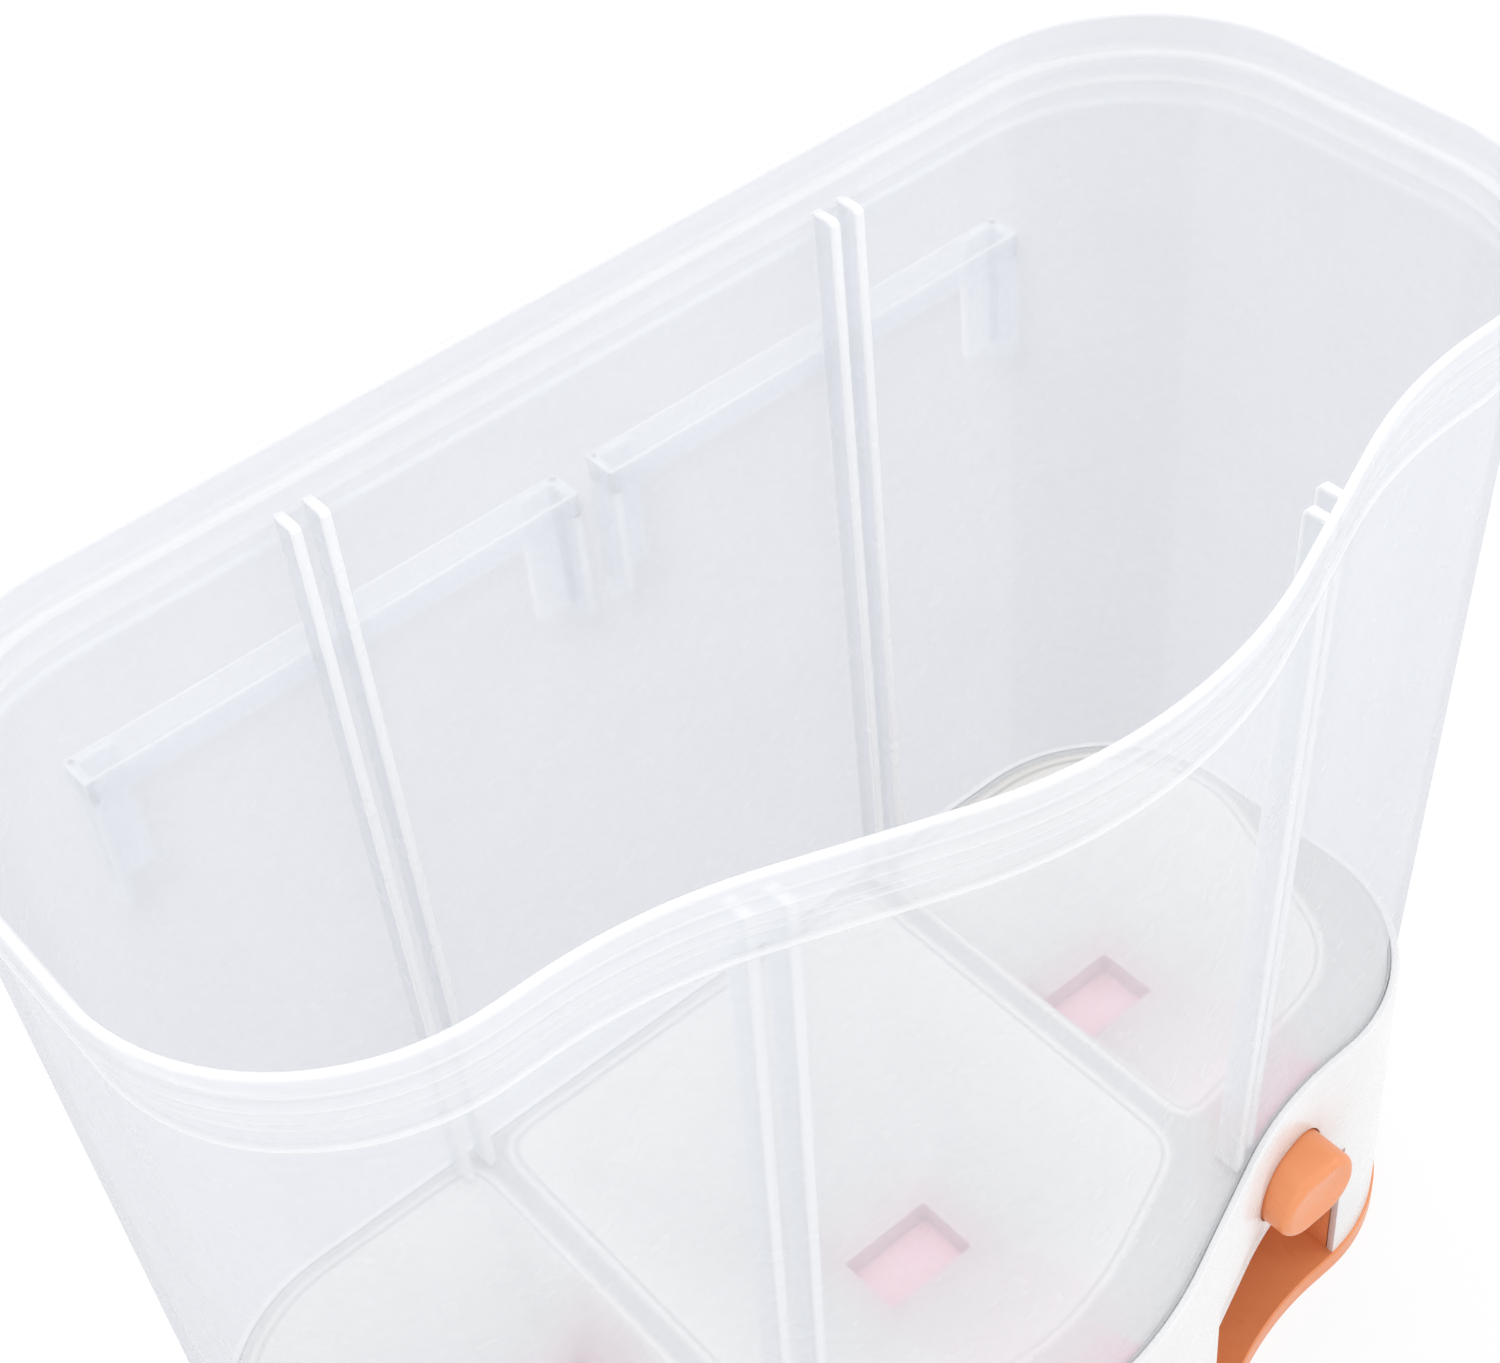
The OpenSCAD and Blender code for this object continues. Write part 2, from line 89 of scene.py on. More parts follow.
@dataclass(frozen=True)
class Plan:
    """Outline of the tank seen from above, with the lean of its walls."""

    rim_w: float = 306.0
    rim_d: float = 157.0
    total_h: float = 300.0
    base_h: float = 90.0
    bulge: float = 26.0
    front_flat: float = 6.0
    corner_r: float = 45.0
    collar_step: float = 2.5
    side_lean: float = 6.0
    front_lean: float = 11.0
    flank_share: float = 1.54
    back_y: float = 76.0
    corner_steps: int = 22
    back_steps: int = 18
    line_steps: tuple[int, ...] = (8, 3, 10)

    @property
    def half_w(self) -> float:
        """Half of the width of the wall under the collar."""
        return self.rim_w / 2 - self.collar_step

    @property
    def wall_d(self) -> float:
        """Depth of the wall under the collar, to the crown of the bulge."""
        return self.rim_d - 2 * self.collar_step

    @property
    def wall_r(self) -> float:
        """Corner radius of the wall under the collar."""
        return self.corner_r - self.collar_step

    @property
    def flat_d(self) -> float:
        """Depth of the flat front beside the bulge."""
        return self.wall_d - self.bulge

    @property
    def reach(self) -> float:
        """Distance from the middle at which the bulge ends in the flat front."""
        return self.half_w - self.wall_r - self.front_flat

    @property
    def flank(self) -> float:
        """Angle of the bulge's straight flank, in degrees."""
        return self.flank_share * math.degrees(math.atan(self.bulge / self.reach))

    @property
    def bulge_r(self) -> float:
        """Radius of the arcs at both ends of the flank."""
        a = math.radians(self.flank)
        return (self.reach * math.sin(a) - self.bulge * math.cos(a)) / (2 * (1 - math.cos(a)))

    def half(self, grow: float) -> list[Point2]:
        """Right half of the outline, from the middle of the back to the crown.

        Args:
            grow: How far the outline is grown outwards.

        Returns:
            Points that match one to one for every grow.
        """
        in_x, r, br = self.half_w - self.wall_r, self.wall_r, self.bulge_r
        runs = [
            arc(in_x, -r, r + grow, 90, 0, self.corner_steps),
            arc(in_x, r - self.flat_d, r + grow, 0, -90, self.corner_steps),
            arc(self.reach, -self.flat_d - br, br - grow, 90, 90 + self.flank, 16),
            arc(0, br - self.wall_d, br + grow, self.flank - 90, -90, 20),
        ]
        points = straight((0.0, grow), runs[0][0], self.back_steps)
        for run, following, steps in zip(runs, runs[1:], self.line_steps):
            points += run[:-1] + straight(run[-1], following[0], steps)
        return points + runs[-1]

    def lean(self, z: float) -> tuple[float, float]:
        """Scale of the outline in width and depth at a height."""
        share = (self.total_h - z) / (self.total_h - self.base_h)
        return 1 - self.side_lean / self.half_w * share, 1 - self.front_lean / self.wall_d * share

    def loop(self, grow: float, z: float) -> list[Point2]:
        """The closed outline at a height, grown outwards.

        Args:
            grow: How far it is grown.
            z: The height.

        Returns:
            Its points, clockwise from the middle of the back.
        """
        right = self.half(grow)
        left = [(-x, y) for x, y in reversed(right[1:-1])]
        sx, sy = self.lean(z)
        return [(x * sx, y * sy + self.y_at(self.collar_step)) for x, y in right + left]

    def y_at(self, depth: float) -> float:
        """Y of a depth that is measured forwards from the back of the collar."""
        return self.back_y - depth

    def front_y(self, x: float, z: float, grow: float) -> float:
        """Y of the front wall at a width and height.

        Args:
            x: The width, from the middle.
            z: The height.
            grow: How far the wall is grown outwards.

        Returns:
            The Y.
        """
        sx, sy = self.lean(z)
        front = [(px * sx, py * sy) for px, py in self.half(grow) if py < -self.wall_r]
        for (x1, y1), (x0, y0) in zip(front, front[1:]):
            if x0 <= max(abs(x), front[-1][0]) <= x1:
                share = (abs(x) - x0) / max(x1 - x0, 1e-9)
                return y0 + (y1 - y0) * share + self.y_at(self.collar_step)
        raise ValueError(f"no front wall at {x}")


def arc(cx: float, cy: float, r: float, start: float, end: float, steps: int) -> list[Point2]:
    """Points on an arc between two angles in degrees, both ends included."""
    angles = [math.radians(start + (end - start) * i / steps) for i in range(steps + 1)]
    return [(cx + r * math.cos(a), cy + r * math.sin(a)) for a in angles]


def straight(a: Point2, b: Point2, steps: int) -> list[Point2]:
    """Points on a line from a, with b left out."""
    return [(a[0] + (b[0] - a[0]) * i / steps, a[1] + (b[1] - a[1]) * i / steps) for i in range(steps)]


# ---------------------------------------------------------------- mesh helpers


def ring_mesh(bm: BMesh, rings: Sequence[Sequence[Point3]], closed: bool) -> list[list]:
    """Joins rings of as many points with quads.

    Args:
        bm: Mesh to add to.
        rings: The rings, in order along the surface.
        closed: True if the last ring joins the first.

    Returns:
        The vertices of each ring.
    """
    made = [[bm.verts.new(p) for p in ring] for ring in rings]
    count = len(made[0])
    pairs = list(zip(made, made[1:])) + ([(made[-1], made[0])] if closed else [])
    for a, b in pairs:
        for i in range(count):
            j = (i + 1) % count
            bm.faces.new((a[i], a[j], b[j], b[i]))
    return made


def capped(bm: BMesh, rings: Sequence[Sequence[Point3]]) -> None:
    """Joins rings to a closed body with a face over the first and the last one.

    Args:
        bm: Mesh to add to.
        rings: The rings, in order along the surface.
    """
    made = ring_mesh(bm, rings, False)
    bm.faces.new(made[0])
    bm.faces.new(made[-1])


def prism(bm: BMesh, outline: Sequence[Point2], x0: float, x1: float) -> list:
    """A closed prism along X from an outline of (y, z) points, and its vertices.

    Args:
        bm: Mesh to add to.
        outline: Outline as (y, z) points.
        x0: X of one end.
        x1: X of the other end.

    Returns:
        The vertices of both ends.
    """
    ends = [[bm.verts.new((x, y, z)) for y, z in outline] for x in (x0, x1)]
    count = len(outline)
    for i in range(count):
        j = (i + 1) % count
        bm.faces.new((ends[0][i], ends[0][j], ends[1][j], ends[1][i]))
    bm.faces.new(ends[0])
    bm.faces.new(ends[1])
    return ends[0] + ends[1]


def block(bm: BMesh, low: Point3, high: Point3) -> list:
    """A closed box between two corners, and its vertices."""
    return prism(bm, [(low[1], low[2]), (high[1], low[2]), (high[1], high[2]), (low[1], high[2])],
                 low[0], high[0])


def cylinder(bm: BMesh, x: float, y: float, z0: float, z1: float, r: float) -> None:
    """A closed upright cylinder."""
    bmesh.ops.create_cone(bm, cap_ends=True, segments=40, radius1=r, radius2=r, depth=z1 - z0,
                          matrix=Matrix.Translation((x, y, (z0 + z1) / 2)))


def linked(name: str, data: bpy.types.ID) -> Object:
    """A new object, linked to the scene.

    Args:
        name: Name of the object.
        data: Its mesh, camera or lamp.

    Returns:
        The object.
    """
    obj = bpy.data.objects.new(name, data)
    bpy.context.scene.collection.objects.link(obj)
    return obj


def finished(bm: BMesh, name: str, sharp: float = 32.0) -> Object:
    """Turns a mesh in millimetres into an object in metres.

    Args:
        bm: The mesh, which is freed.
        name: Name of the object.
        sharp: Angle in degrees past which an edge stays sharp.

    Returns:
        The new object, at the origin.
    """
    bmesh.ops.scale(bm, vec=(MM, MM, MM), verts=bm.verts)
    bmesh.ops.recalc_face_normals(bm, faces=bm.faces)
    mesh = bpy.data.meshes.new(name)
    bm.to_mesh(mesh)
    bm.free()
    obj = linked(name, mesh)
    soften(obj, sharp)
    return obj


def soften(obj: Object, sharp: float) -> None:
    """Shades an object smooth, with edges past an angle in degrees kept sharp.

    Args:
        obj: The object.
        sharp: The angle in degrees.
    """
    bm = bmesh.new()
    bm.from_mesh(obj.data)
    for face in bm.faces:
        face.smooth = True
    for edge in bm.edges:
        edge.smooth = len(edge.link_faces) == 2 and edge.calc_face_angle(0.0) < math.radians(sharp)
    bm.to_mesh(obj.data)
    bm.free()


def settle(obj: Object, sharp: float | None = 32.0) -> Object:
    """Applies an object's modifiers to its mesh and removes them.

    Args:
        obj: The object.
        sharp: Angle in degrees past which an edge stays sharp, or None to keep the shading.

    Returns:
        The same object.
    """
    graph = bpy.context.evaluated_depsgraph_get()
    mesh = bpy.data.meshes.new_from_object(obj.evaluated_get(graph), preserve_all_data_layers=True,
                                           depsgraph=graph)
    obj.modifiers.clear()
    obj.data = mesh
    if sharp is not None:
        soften(obj, sharp)
    return obj


def bevelled(obj: Object, width: float, segments: int = 2, angle: float = 40.0) -> Object:
    """Rounds an object's sharp edges by a width in millimetres.

    Args:
        obj: The object.
        width: Width of the rounding in millimetres.
        segments: Steps across the rounding.
        angle: Angle in degrees past which an edge is rounded.

    Returns:
        The same object.
    """
    bevel = obj.modifiers.new("edges", "BEVEL")
    bevel.width = width * MM
    bevel.segments = segments
    bevel.limit_method = "ANGLE"
    bevel.angle_limit = math.radians(angle)
    bevel.harden_normals = False
    return settle(obj)


def combine(obj: Object, other: Object, operation: str) -> Object:
    """Cuts or joins a second object with the first one, and removes the second.

    Args:
        obj: The object that stays.
        other: The object that is used up.
        operation: DIFFERENCE or UNION.

    Returns:
        The first object.
    """
    tool = obj.modifiers.new("combine", "BOOLEAN")
    tool.operation = operation
    tool.solver = "EXACT"
    tool.use_self = operation == "UNION"
    tool.object = other
    settle(obj)
    bpy.data.objects.remove(other)
    return obj


def edged(obj: Object, width: float, edge: float, middle: float) -> Object:
    """Paints the thick attribute with one number along the edges and another inside the faces.

    Args:
        obj: The piece, whose wide faces get an inner loop.
        width: Width of the edge in millimetres.
        edge: Number along the edges.
        middle: Number inside the faces.

    Returns:
        The same piece.
    """
    bm = bmesh.new()
    bm.from_mesh(obj.data)
    layer = bm.verts.layers.float.new("thick")
    for vertex in bm.verts:
        vertex[layer] = edge
    # A face has to be wider than about two and a half edges to keep a middle.
    wide = [f for f in bm.faces if f.calc_area() > 1.2 * width * MM * f.calc_perimeter()]
    for face in wide:
        bmesh.ops.inset_individual(bm, faces=[face], thickness=width * MM, use_even_offset=False)
        for vertex in face.verts:
            vertex[layer] = middle
    bm.to_mesh(obj.data)
    bm.free()
    return obj


def moulded_copy(node: str, name: str, edge: float) -> Object:
    """A copy of a CAD node with its flat faces joined and its edges rounded.

    Args:
        node: Name of the CAD node.
        name: Name of the copy.
        edge: Width of the rounding in millimetres.

    Returns:
        The copy, ready to stand for the node.
    """
    bm = bmesh.new()
    bm.from_mesh(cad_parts[node].data)
    bmesh.ops.remove_doubles(bm, verts=bm.verts, dist=1e-6)
    bmesh.ops.dissolve_limit(bm, angle_limit=math.radians(1), verts=bm.verts, edges=bm.edges)
    bmesh.ops.scale(bm, vec=(1 / MM,) * 3, verts=bm.verts)
    return bevelled(finished(bm, name), edge)


def dress(obj: Object, finish: "Finish", body: str, nodes: Iterable[str]) -> None:
    """Gives a piece its finish and the body it moves with, and hides the CAD nodes it stands in for.

    Args:
        obj: The piece.
        finish: Its finish.
        body: Name of the body it rides on.
        nodes: Names of the CAD nodes that are hidden, if any.
    """
    obj.data.materials.clear()
    obj.data.materials.append(finish.material())
    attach(obj, body)
    names = list(nodes)
    if names:
        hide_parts(*names)
    LOG.info("%s rides on %s with %d faces", obj.name, body, len(obj.data.polygons))


def paint(obj: Object, name: str, rule: Callable[[Point3], float]) -> None:
    """Stores a number on each vertex, worked out from its place in millimetres.

    Args:
        obj: The piece.
        name: Name of the attribute.
        rule: Number for a place.
    """
    layer = obj.data.attributes.new(name, "FLOAT", "POINT")
    for i, vertex in enumerate(obj.data.vertices):
        layer.data[i].value = rule(tuple(c / MM for c in vertex.co))


def near(value: float, low: float, high: float, soft: float) -> float:
    """1 between low and high, falling to 0 over a soft border."""
    gap = max(low - value, value - high, 0.0)
    return max(0.0, 1.0 - gap / soft)


# ---------------------------------------------------------------- finishes


def linear(hex_code: str) -> tuple[float, float, float, float]:
    """An sRGB hex colour as a linear colour."""
    channels = [int(hex_code[i:i + 2], 16) / 255 for i in (1, 3, 5)]
    return tuple(c / 12.92 if c <= 0.04045 else ((c + 0.055) / 1.055) ** 2.4 for c in channels) + (1.0,)


def add(tree: Tree, kind: str, settings: dict | None = None, **inputs: object) -> Node:
    """Adds a node, sets its properties and sets or links its inputs.

    Args:
        tree: Node tree to add to.
        kind: Blender's name of the node type.
        settings: Properties of the node.
        inputs: Input values by name, with _ for a space, or by number as i0, i1. A socket is linked.

    Returns:
        The new node.
    """
    node = tree.nodes.new(kind)
    for key, value in (settings or {}).items():
        setattr(node, key, value)
    for key, value in inputs.items():
        number = key[1:] if key[0] == "i" and key[1:].isdigit() else None
        socket = node.inputs[int(number)] if number else node.inputs[key.replace("_", " ")]
        if isinstance(value, Socket):
            tree.links.new(value, socket)
        else:
            socket.default_value = value
    return node


def emptied(owner: bpy.types.Material | bpy.types.World) -> Tree:
    """Empties the node tree of a material or a world.

    Args:
        owner: The material or the world.

    Returns:
        The tree, with nothing in it.
    """
    owner.use_nodes = True
    owner.node_tree.nodes.clear()
    return owner.node_tree


def painted(tree: Tree, name: str) -> Socket:
    """The number that a mesh's vertices carry under a name."""
    return add(tree, "ShaderNodeAttribute", {"attribute_name": name}).outputs["Fac"]


def maths(tree: Tree, operation: str, a: object, b: object) -> Socket:
    """The sum, product, larger number or comparison of two numbers."""
    return add(tree, "ShaderNodeMath", {"operation": operation}, i0=a, i1=b).outputs[0]


def blend(tree: Tree, share: object, a: Node, b: Node) -> Node:
    """A mix of two surfaces by a share of the second one."""
    return add(tree, "ShaderNodeMixShader", None, i0=share, i1=a.outputs[0], i2=b.outputs[0])


def mapped(tree: Tree, source: Socket, low: object, high: object, **more: object) -> Socket:
    """A number between 0 and 1, or as more tells, mapped to the range from low to high."""
    return add(tree, "ShaderNodeMapRange", None, Value=source, **more, To_Min=low,
               To_Max=high).outputs["Result"]


@dataclass(frozen=True)
class Finish:
    """A finish that fills a material's node tree once and hands it out."""

    name: str
    colour: str
    shade: str
    roughness: float
    ior: float = 1.45

    def material(self) -> bpy.types.Material:
        """The material of this finish, made at its first use.

        Returns:
            The material.
        """
        found = bpy.data.materials.get(self.name)
        if found:
            return found
        made = bpy.data.materials.new(self.name)
        self.fill(emptied(made))
        return made

    def fill(self, tree: Tree) -> None:
        """Builds the nodes. Each kind of finish has its own."""
        raise NotImplementedError

    def grain(self, tree: Tree, size_mm: float, detail: float = 3.0) -> Socket:
        """A noise from 0 to 1 whose lumps are about a size in millimetres.

        Args:
            tree: Node tree to add to.
            size_mm: Size of the lumps.
            detail: Octaves of the noise.

        Returns:
            The noise.
        """
        place = add(tree, "ShaderNodeTexCoord").outputs["Object"]
        return add(tree, "ShaderNodeTexNoise", None, Vector=place, Scale=1 / (size_mm * MM),
                   Detail=detail, Roughness=0.55).outputs["Fac"]

    def spread(self, tree: Tree, source: Socket, low: float, high: float) -> Socket:
        """Maps the middle of a noise to a range of numbers."""
        return mapped(tree, source, low, high, From_Min=0.3, From_Max=0.7)

    def mixed(self, tree: Tree, share: object, a: object, b: object) -> Socket:
        """Mixes two colours by a share."""
        return add(tree, "ShaderNodeMix", {"data_type": "RGBA"}, i0=share, i6=a, i7=b).outputs[2]


@dataclass(frozen=True)
class MilkyPolypropylene(Finish):
    """Polypropylene homopolymer without pigment, injection moulded against polished steel.

    It is milky because its crystals scatter light: shapes behind a 2 mm wall show as a soft
    veil, edges and thick places go white, and the skin shines faintly.
    """

    wall_haze: float = 0.335
    edge_haze: float = 0.85
    flow_mm: float = 30
    cloud_mm: float = 2.5
    skin_mm: float = 9
    peel_mm: float = 1.5

    def fill(self, tree: Tree) -> None:
        """Haze of one face, from clear at thick -0.6 to nearly solid at 1, with long flow lines.

        Args:
            tree: The material's node tree.
        """
        thick = painted(tree, "thick")
        flow = self.spread(tree, self.grain(tree, self.flow_mm, 4), -0.02, 0.03)
        cloud = self.spread(tree, self.grain(tree, self.cloud_mm, 2), -0.006, 0.006)
        drift = maths(tree, "ADD", flow, cloud)
        haze = add(tree, "ShaderNodeMapRange", {"clamp": False}, Value=thick, To_Min=self.wall_haze,
                   To_Max=self.edge_haze).outputs["Result"]
        haze = maths(tree, "ADD", haze, drift)
        colour = self.mixed(tree, thick, linear(self.shade), linear(self.colour))
        skin = self.spread(tree, self.grain(tree, self.skin_mm, 2), self.roughness - 0.04,
                           self.roughness + 0.05)
        # The polished tool leaves a faint orange peel.
        peel = add(tree, "ShaderNodeBump", None, Strength=0.02, Distance=PEEL_DEPTH,
                   Height=self.grain(tree, self.peel_mm, 1))
        solid = add(tree, "ShaderNodeBsdfPrincipled", None, Base_Color=colour, Roughness=skin,
                    IOR=self.ior, Normal=peel.outputs[0])
        through = add(tree, "ShaderNodeBsdfTranslucent", None, Color=colour, Normal=peel.outputs[0])
        body = blend(tree, mapped(tree, thick, 0.5, 0.12), solid, through)
        clear = add(tree, "ShaderNodeBsdfTransparent", None, Color=(1, 1, 1, 1))
        both = blend(tree, haze, clear, body)
        add(tree, "ShaderNodeOutputMaterial", None, Surface=both.outputs[0])


@dataclass(frozen=True)
class MouldedPlastic(Finish):
    """Pigmented thermoplastic, injection moulded in a lightly eroded tool.

    It has a satin skin with a fine even grain and faint clouding of the pigment.
    """

    grain_mm: float = 0.6
    cloud_mm: float = 14
    skin_mm: float = 6
    glow: float = 0.0
    bump: float = 0.03
    # Colour of the painted glow of coloured gates seen through a white part, if the mesh carries it.
    tint: str = ""
    # Colour of the painted shade, if the mesh carries it.
    dim: str = ""

    def fill(self, tree: Tree) -> None:
        """Clouds of pigment, grain in the bump and a drifting gloss.

        Args:
            tree: The material's node tree.
        """
        cloud = self.spread(tree, self.grain(tree, self.cloud_mm, 3), 0.0, 1.0)
        colour = self.mixed(tree, cloud, linear(self.colour), linear(self.shade))
        # Painted shade, where the mesh carries it.
        if self.dim:
            colour = self.mixed(tree, painted(tree, "dim"), colour, linear(self.dim))
        # Painted glow of the coloured gates, where the mesh carries it.
        if self.tint:
            colour = self.mixed(tree, painted(tree, "tint"), colour, linear(self.tint))
        skin = self.spread(tree, self.grain(tree, self.skin_mm, 3), self.roughness - 0.05,
                           self.roughness + 0.06)
        # The eroded tool's grain, drawn a little coarser than the real 0.2 mm so that it shows.
        peel = add(tree, "ShaderNodeBump", None, Strength=self.bump, Distance=PEEL_DEPTH,
                   Height=self.grain(tree, self.grain_mm, 2))
        solid = add(tree, "ShaderNodeBsdfPrincipled", None, Base_Color=colour, Roughness=skin,
                    IOR=self.ior, Normal=peel.outputs[0])
        if self.glow:
            solid = blend(tree, self.glow, solid,
                          add(tree, "ShaderNodeBsdfTranslucent", None, Color=colour))
        add(tree, "ShaderNodeOutputMaterial", None, Surface=solid.outputs[0])


@dataclass(frozen=True)
class DrawnSteel(Finish):
    """Steel wire or a rolled screw under a thin zinc coat.

    It is bright and slightly streaked, with blurred reflections.
    """

    def fill(self, tree: Tree) -> None:
        """Streaks of about 0.8 mm in the colour and the roughness.

        Args:
            tree: The material's node tree.
        """
        streak = self.grain(tree, 0.8, 4)
        share = self.spread(tree, streak, 0.0, 1.0)
        colour = self.mixed(tree, share, linear(self.colour), linear(self.shade))
        skin = self.spread(tree, streak, self.roughness - 0.07, self.roughness + 0.1)
        solid = add(tree, "ShaderNodeBsdfPrincipled", None, Base_Color=colour, Roughness=skin, Metallic=1.0)
        add(tree, "ShaderNodeOutputMaterial", None, Surface=solid.outputs[0])


MILKY_PP = MilkyPolypropylene("polished_milky_polypropylene", "#FAFBFC", "#F2F4F8", 0.24, 1.49)
# The white floor carries a painted pink glow of the gates and a painted grey shade.
HOPPER_PP = MouldedPlastic("eroded_white_polypropylene", "#FAF8F5", "#F7F5F2", 0.34, 1.49, glow=0.15,
                           tint="#F29AB4", dim="#CECDCB")
WHITE_ABS = MouldedPlastic("satin_white_abs", "#ECECED", "#E9E9EA", 0.26, 1.54, grain_mm=0.7)
ORANGE_PP = MouldedPlastic("satin_orange_polypropylene", "#F9A36E", "#F59B66", 0.3, 1.49, glow=0.1)
GATE_POM = MouldedPlastic("coral_acetal", "#FCC4D2", "#FABCCB", 0.32, 1.48)
SPRING_STEEL = DrawnSteel("drawn_spring_steel", "#B9BBC0", "#9EA1A8", 0.3)
ZINC_STEEL = DrawnSteel("zinc_plated_screw_steel", "#C6C9CF", "#AFB3BA", 0.36)


# ---------------------------------------------------------------- geometry nodes


@dataclass(frozen=True)
class NodeModifier:
    """A Geometry Nodes tree that ends in Realize Instances and Set Material."""

    name: str

    def tree(self, sockets: dict[str, tuple[str, object]], build: Callable) -> Tree:
        """Makes the tree with named inputs.

        Args:
            sockets: Socket type and default value of each input by its name.
            build: Function of the tree and its input node that returns the geometry socket.

        Returns:
            The finished tree.
        """
        tree = bpy.data.node_groups.new(self.name, "GeometryNodeTree")
        tree.interface.new_socket("Geometry", in_out="INPUT", socket_type="NodeSocketGeometry")
        for name, (kind, value) in sockets.items():
            socket = tree.interface.new_socket(name, in_out="INPUT", socket_type=kind)
            if value is not None:
                socket.default_value = value
        tree.interface.new_socket("Material", in_out="INPUT", socket_type="NodeSocketMaterial")
        tree.interface.new_socket("Geometry", in_out="OUTPUT", socket_type="NodeSocketGeometry")
        start = add(tree, "NodeGroupInput")
        shape = build(tree, start)
        real = add(tree, "GeometryNodeRealizeInstances", None, Geometry=shape).outputs[0]
        dressed = add(tree, "GeometryNodeSetMaterial", None, Geometry=real,
                      Material=start.outputs["Material"]).outputs[0]
        add(tree, "NodeGroupOutput", None, Geometry=dressed)
        return tree

    def run(self, obj: Object, tree: Tree, finish: Finish, **values: object) -> Object:
        """Runs the tree on an object with values by input name and keeps the plain mesh.

        Args:
            obj: The object.
            tree: The tree.
            finish: Finish that the tree sets.
            values: Values by input name, with _ for a space.

        Returns:
            The same object.
        """
        modifier = obj.modifiers.new(self.name, "NODES")
        modifier.node_group = tree
        keys = {s.name: s.identifier for s in tree.interface.items_tree if s.in_out == "INPUT"}
        for name, value in {**values, "Material": finish.material()}.items():
            modifier[keys[name.replace("_", " ")]] = value
        return settle(obj)


@dataclass(frozen=True)
class Repeat(NodeModifier):
    """Sets a copy of one piece on each point of a mesh."""

    def make(self, name: str, points: Sequence[Point3], piece: Object, finish: Finish) -> Object:
        """Repeats a piece.

        Args:
            name: Name of the new object.
            points: Places of the copies in millimetres.
            piece: The piece, which is removed afterwards.
            finish: Finish of the copies.

        Returns:
            The new object.
        """
        def build(tree: Tree, start: Node) -> Socket:
            """One instance of the piece on each vertex.

            Args:
                tree: Node tree to fill.
                start: Its input node.

            Returns:
                The geometry.
            """
            info = add(tree, "GeometryNodeObjectInfo", None, Object=start.outputs["Piece"])
            return add(tree, "GeometryNodeInstanceOnPoints", None, Points=start.outputs["Geometry"],
                       Instance=info.outputs["Geometry"]).outputs[0]

        tree = self.tree({"Piece": ("NodeSocketObject", None)}, build)
        mesh = bpy.data.meshes.new(name)
        mesh.from_pydata([Vector(p) * MM for p in points], [], [])
        obj = self.run(linked(name, mesh), tree, finish, Piece=piece)
        bpy.data.objects.remove(piece)
        return obj


@dataclass(frozen=True)
class Coil(NodeModifier):
    """Winds a round wire into a compression spring along Y."""

    turns: float = 7.0
    outer_r: float = 3.6
    wire_r: float = 0.4

    def make(self, name: str, place: Point3, length: float, finish: Finish) -> Object:
        """Winds one spring.

        Args:
            name: Name of the new object.
            place: Rear end of the spring's axis in millimetres.
            length: Length over the wire in millimetres.
            finish: Finish of the wire.

        Returns:
            The new object.
        """
        def build(tree: Tree, start: Node) -> Socket:
            """A spiral swept with a circle, turned on to the axis.

            Args:
                tree: Node tree to fill.
                start: Its input node.

            Returns:
                The geometry.
            """
            out = start.outputs
            spiral = add(tree, "GeometryNodeCurveSpiral", None, Resolution=28, Rotations=out["Turns"],
                         Start_Radius=out["Radius"], End_Radius=out["Radius"], Height=out["Height"])
            wire = add(tree, "GeometryNodeCurvePrimitiveCircle", None, Resolution=10, Radius=out["Wire"])
            swept = add(tree, "GeometryNodeCurveToMesh", None, Curve=spiral.outputs[0],
                        Profile_Curve=wire.outputs[0])
            swept.inputs["Fill Caps"].default_value = True
            return add(tree, "GeometryNodeTransform", None, Geometry=swept.outputs[0],
                       Translation=out["Place"], Rotation=(math.radians(90), 0, 0)).outputs[0]

        number = "NodeSocketFloat"
        tree = self.tree({"Turns": (number, 1.0), "Radius": (number, 1.0), "Height": (number, 1.0),
                          "Wire": (number, 1.0), "Place": ("NodeSocketVector", None)}, build)
        x, y, z = place
        wire = self.wire_r * MM
        return self.run(linked(name, bpy.data.meshes.new(name)), tree, finish, Turns=self.turns,
                        Radius=self.outer_r * MM - wire, Height=length * MM - 2 * wire, Wire=wire,
                        Place=(x * MM, y * MM - wire, z * MM))


# ---------------------------------------------------------------- tank


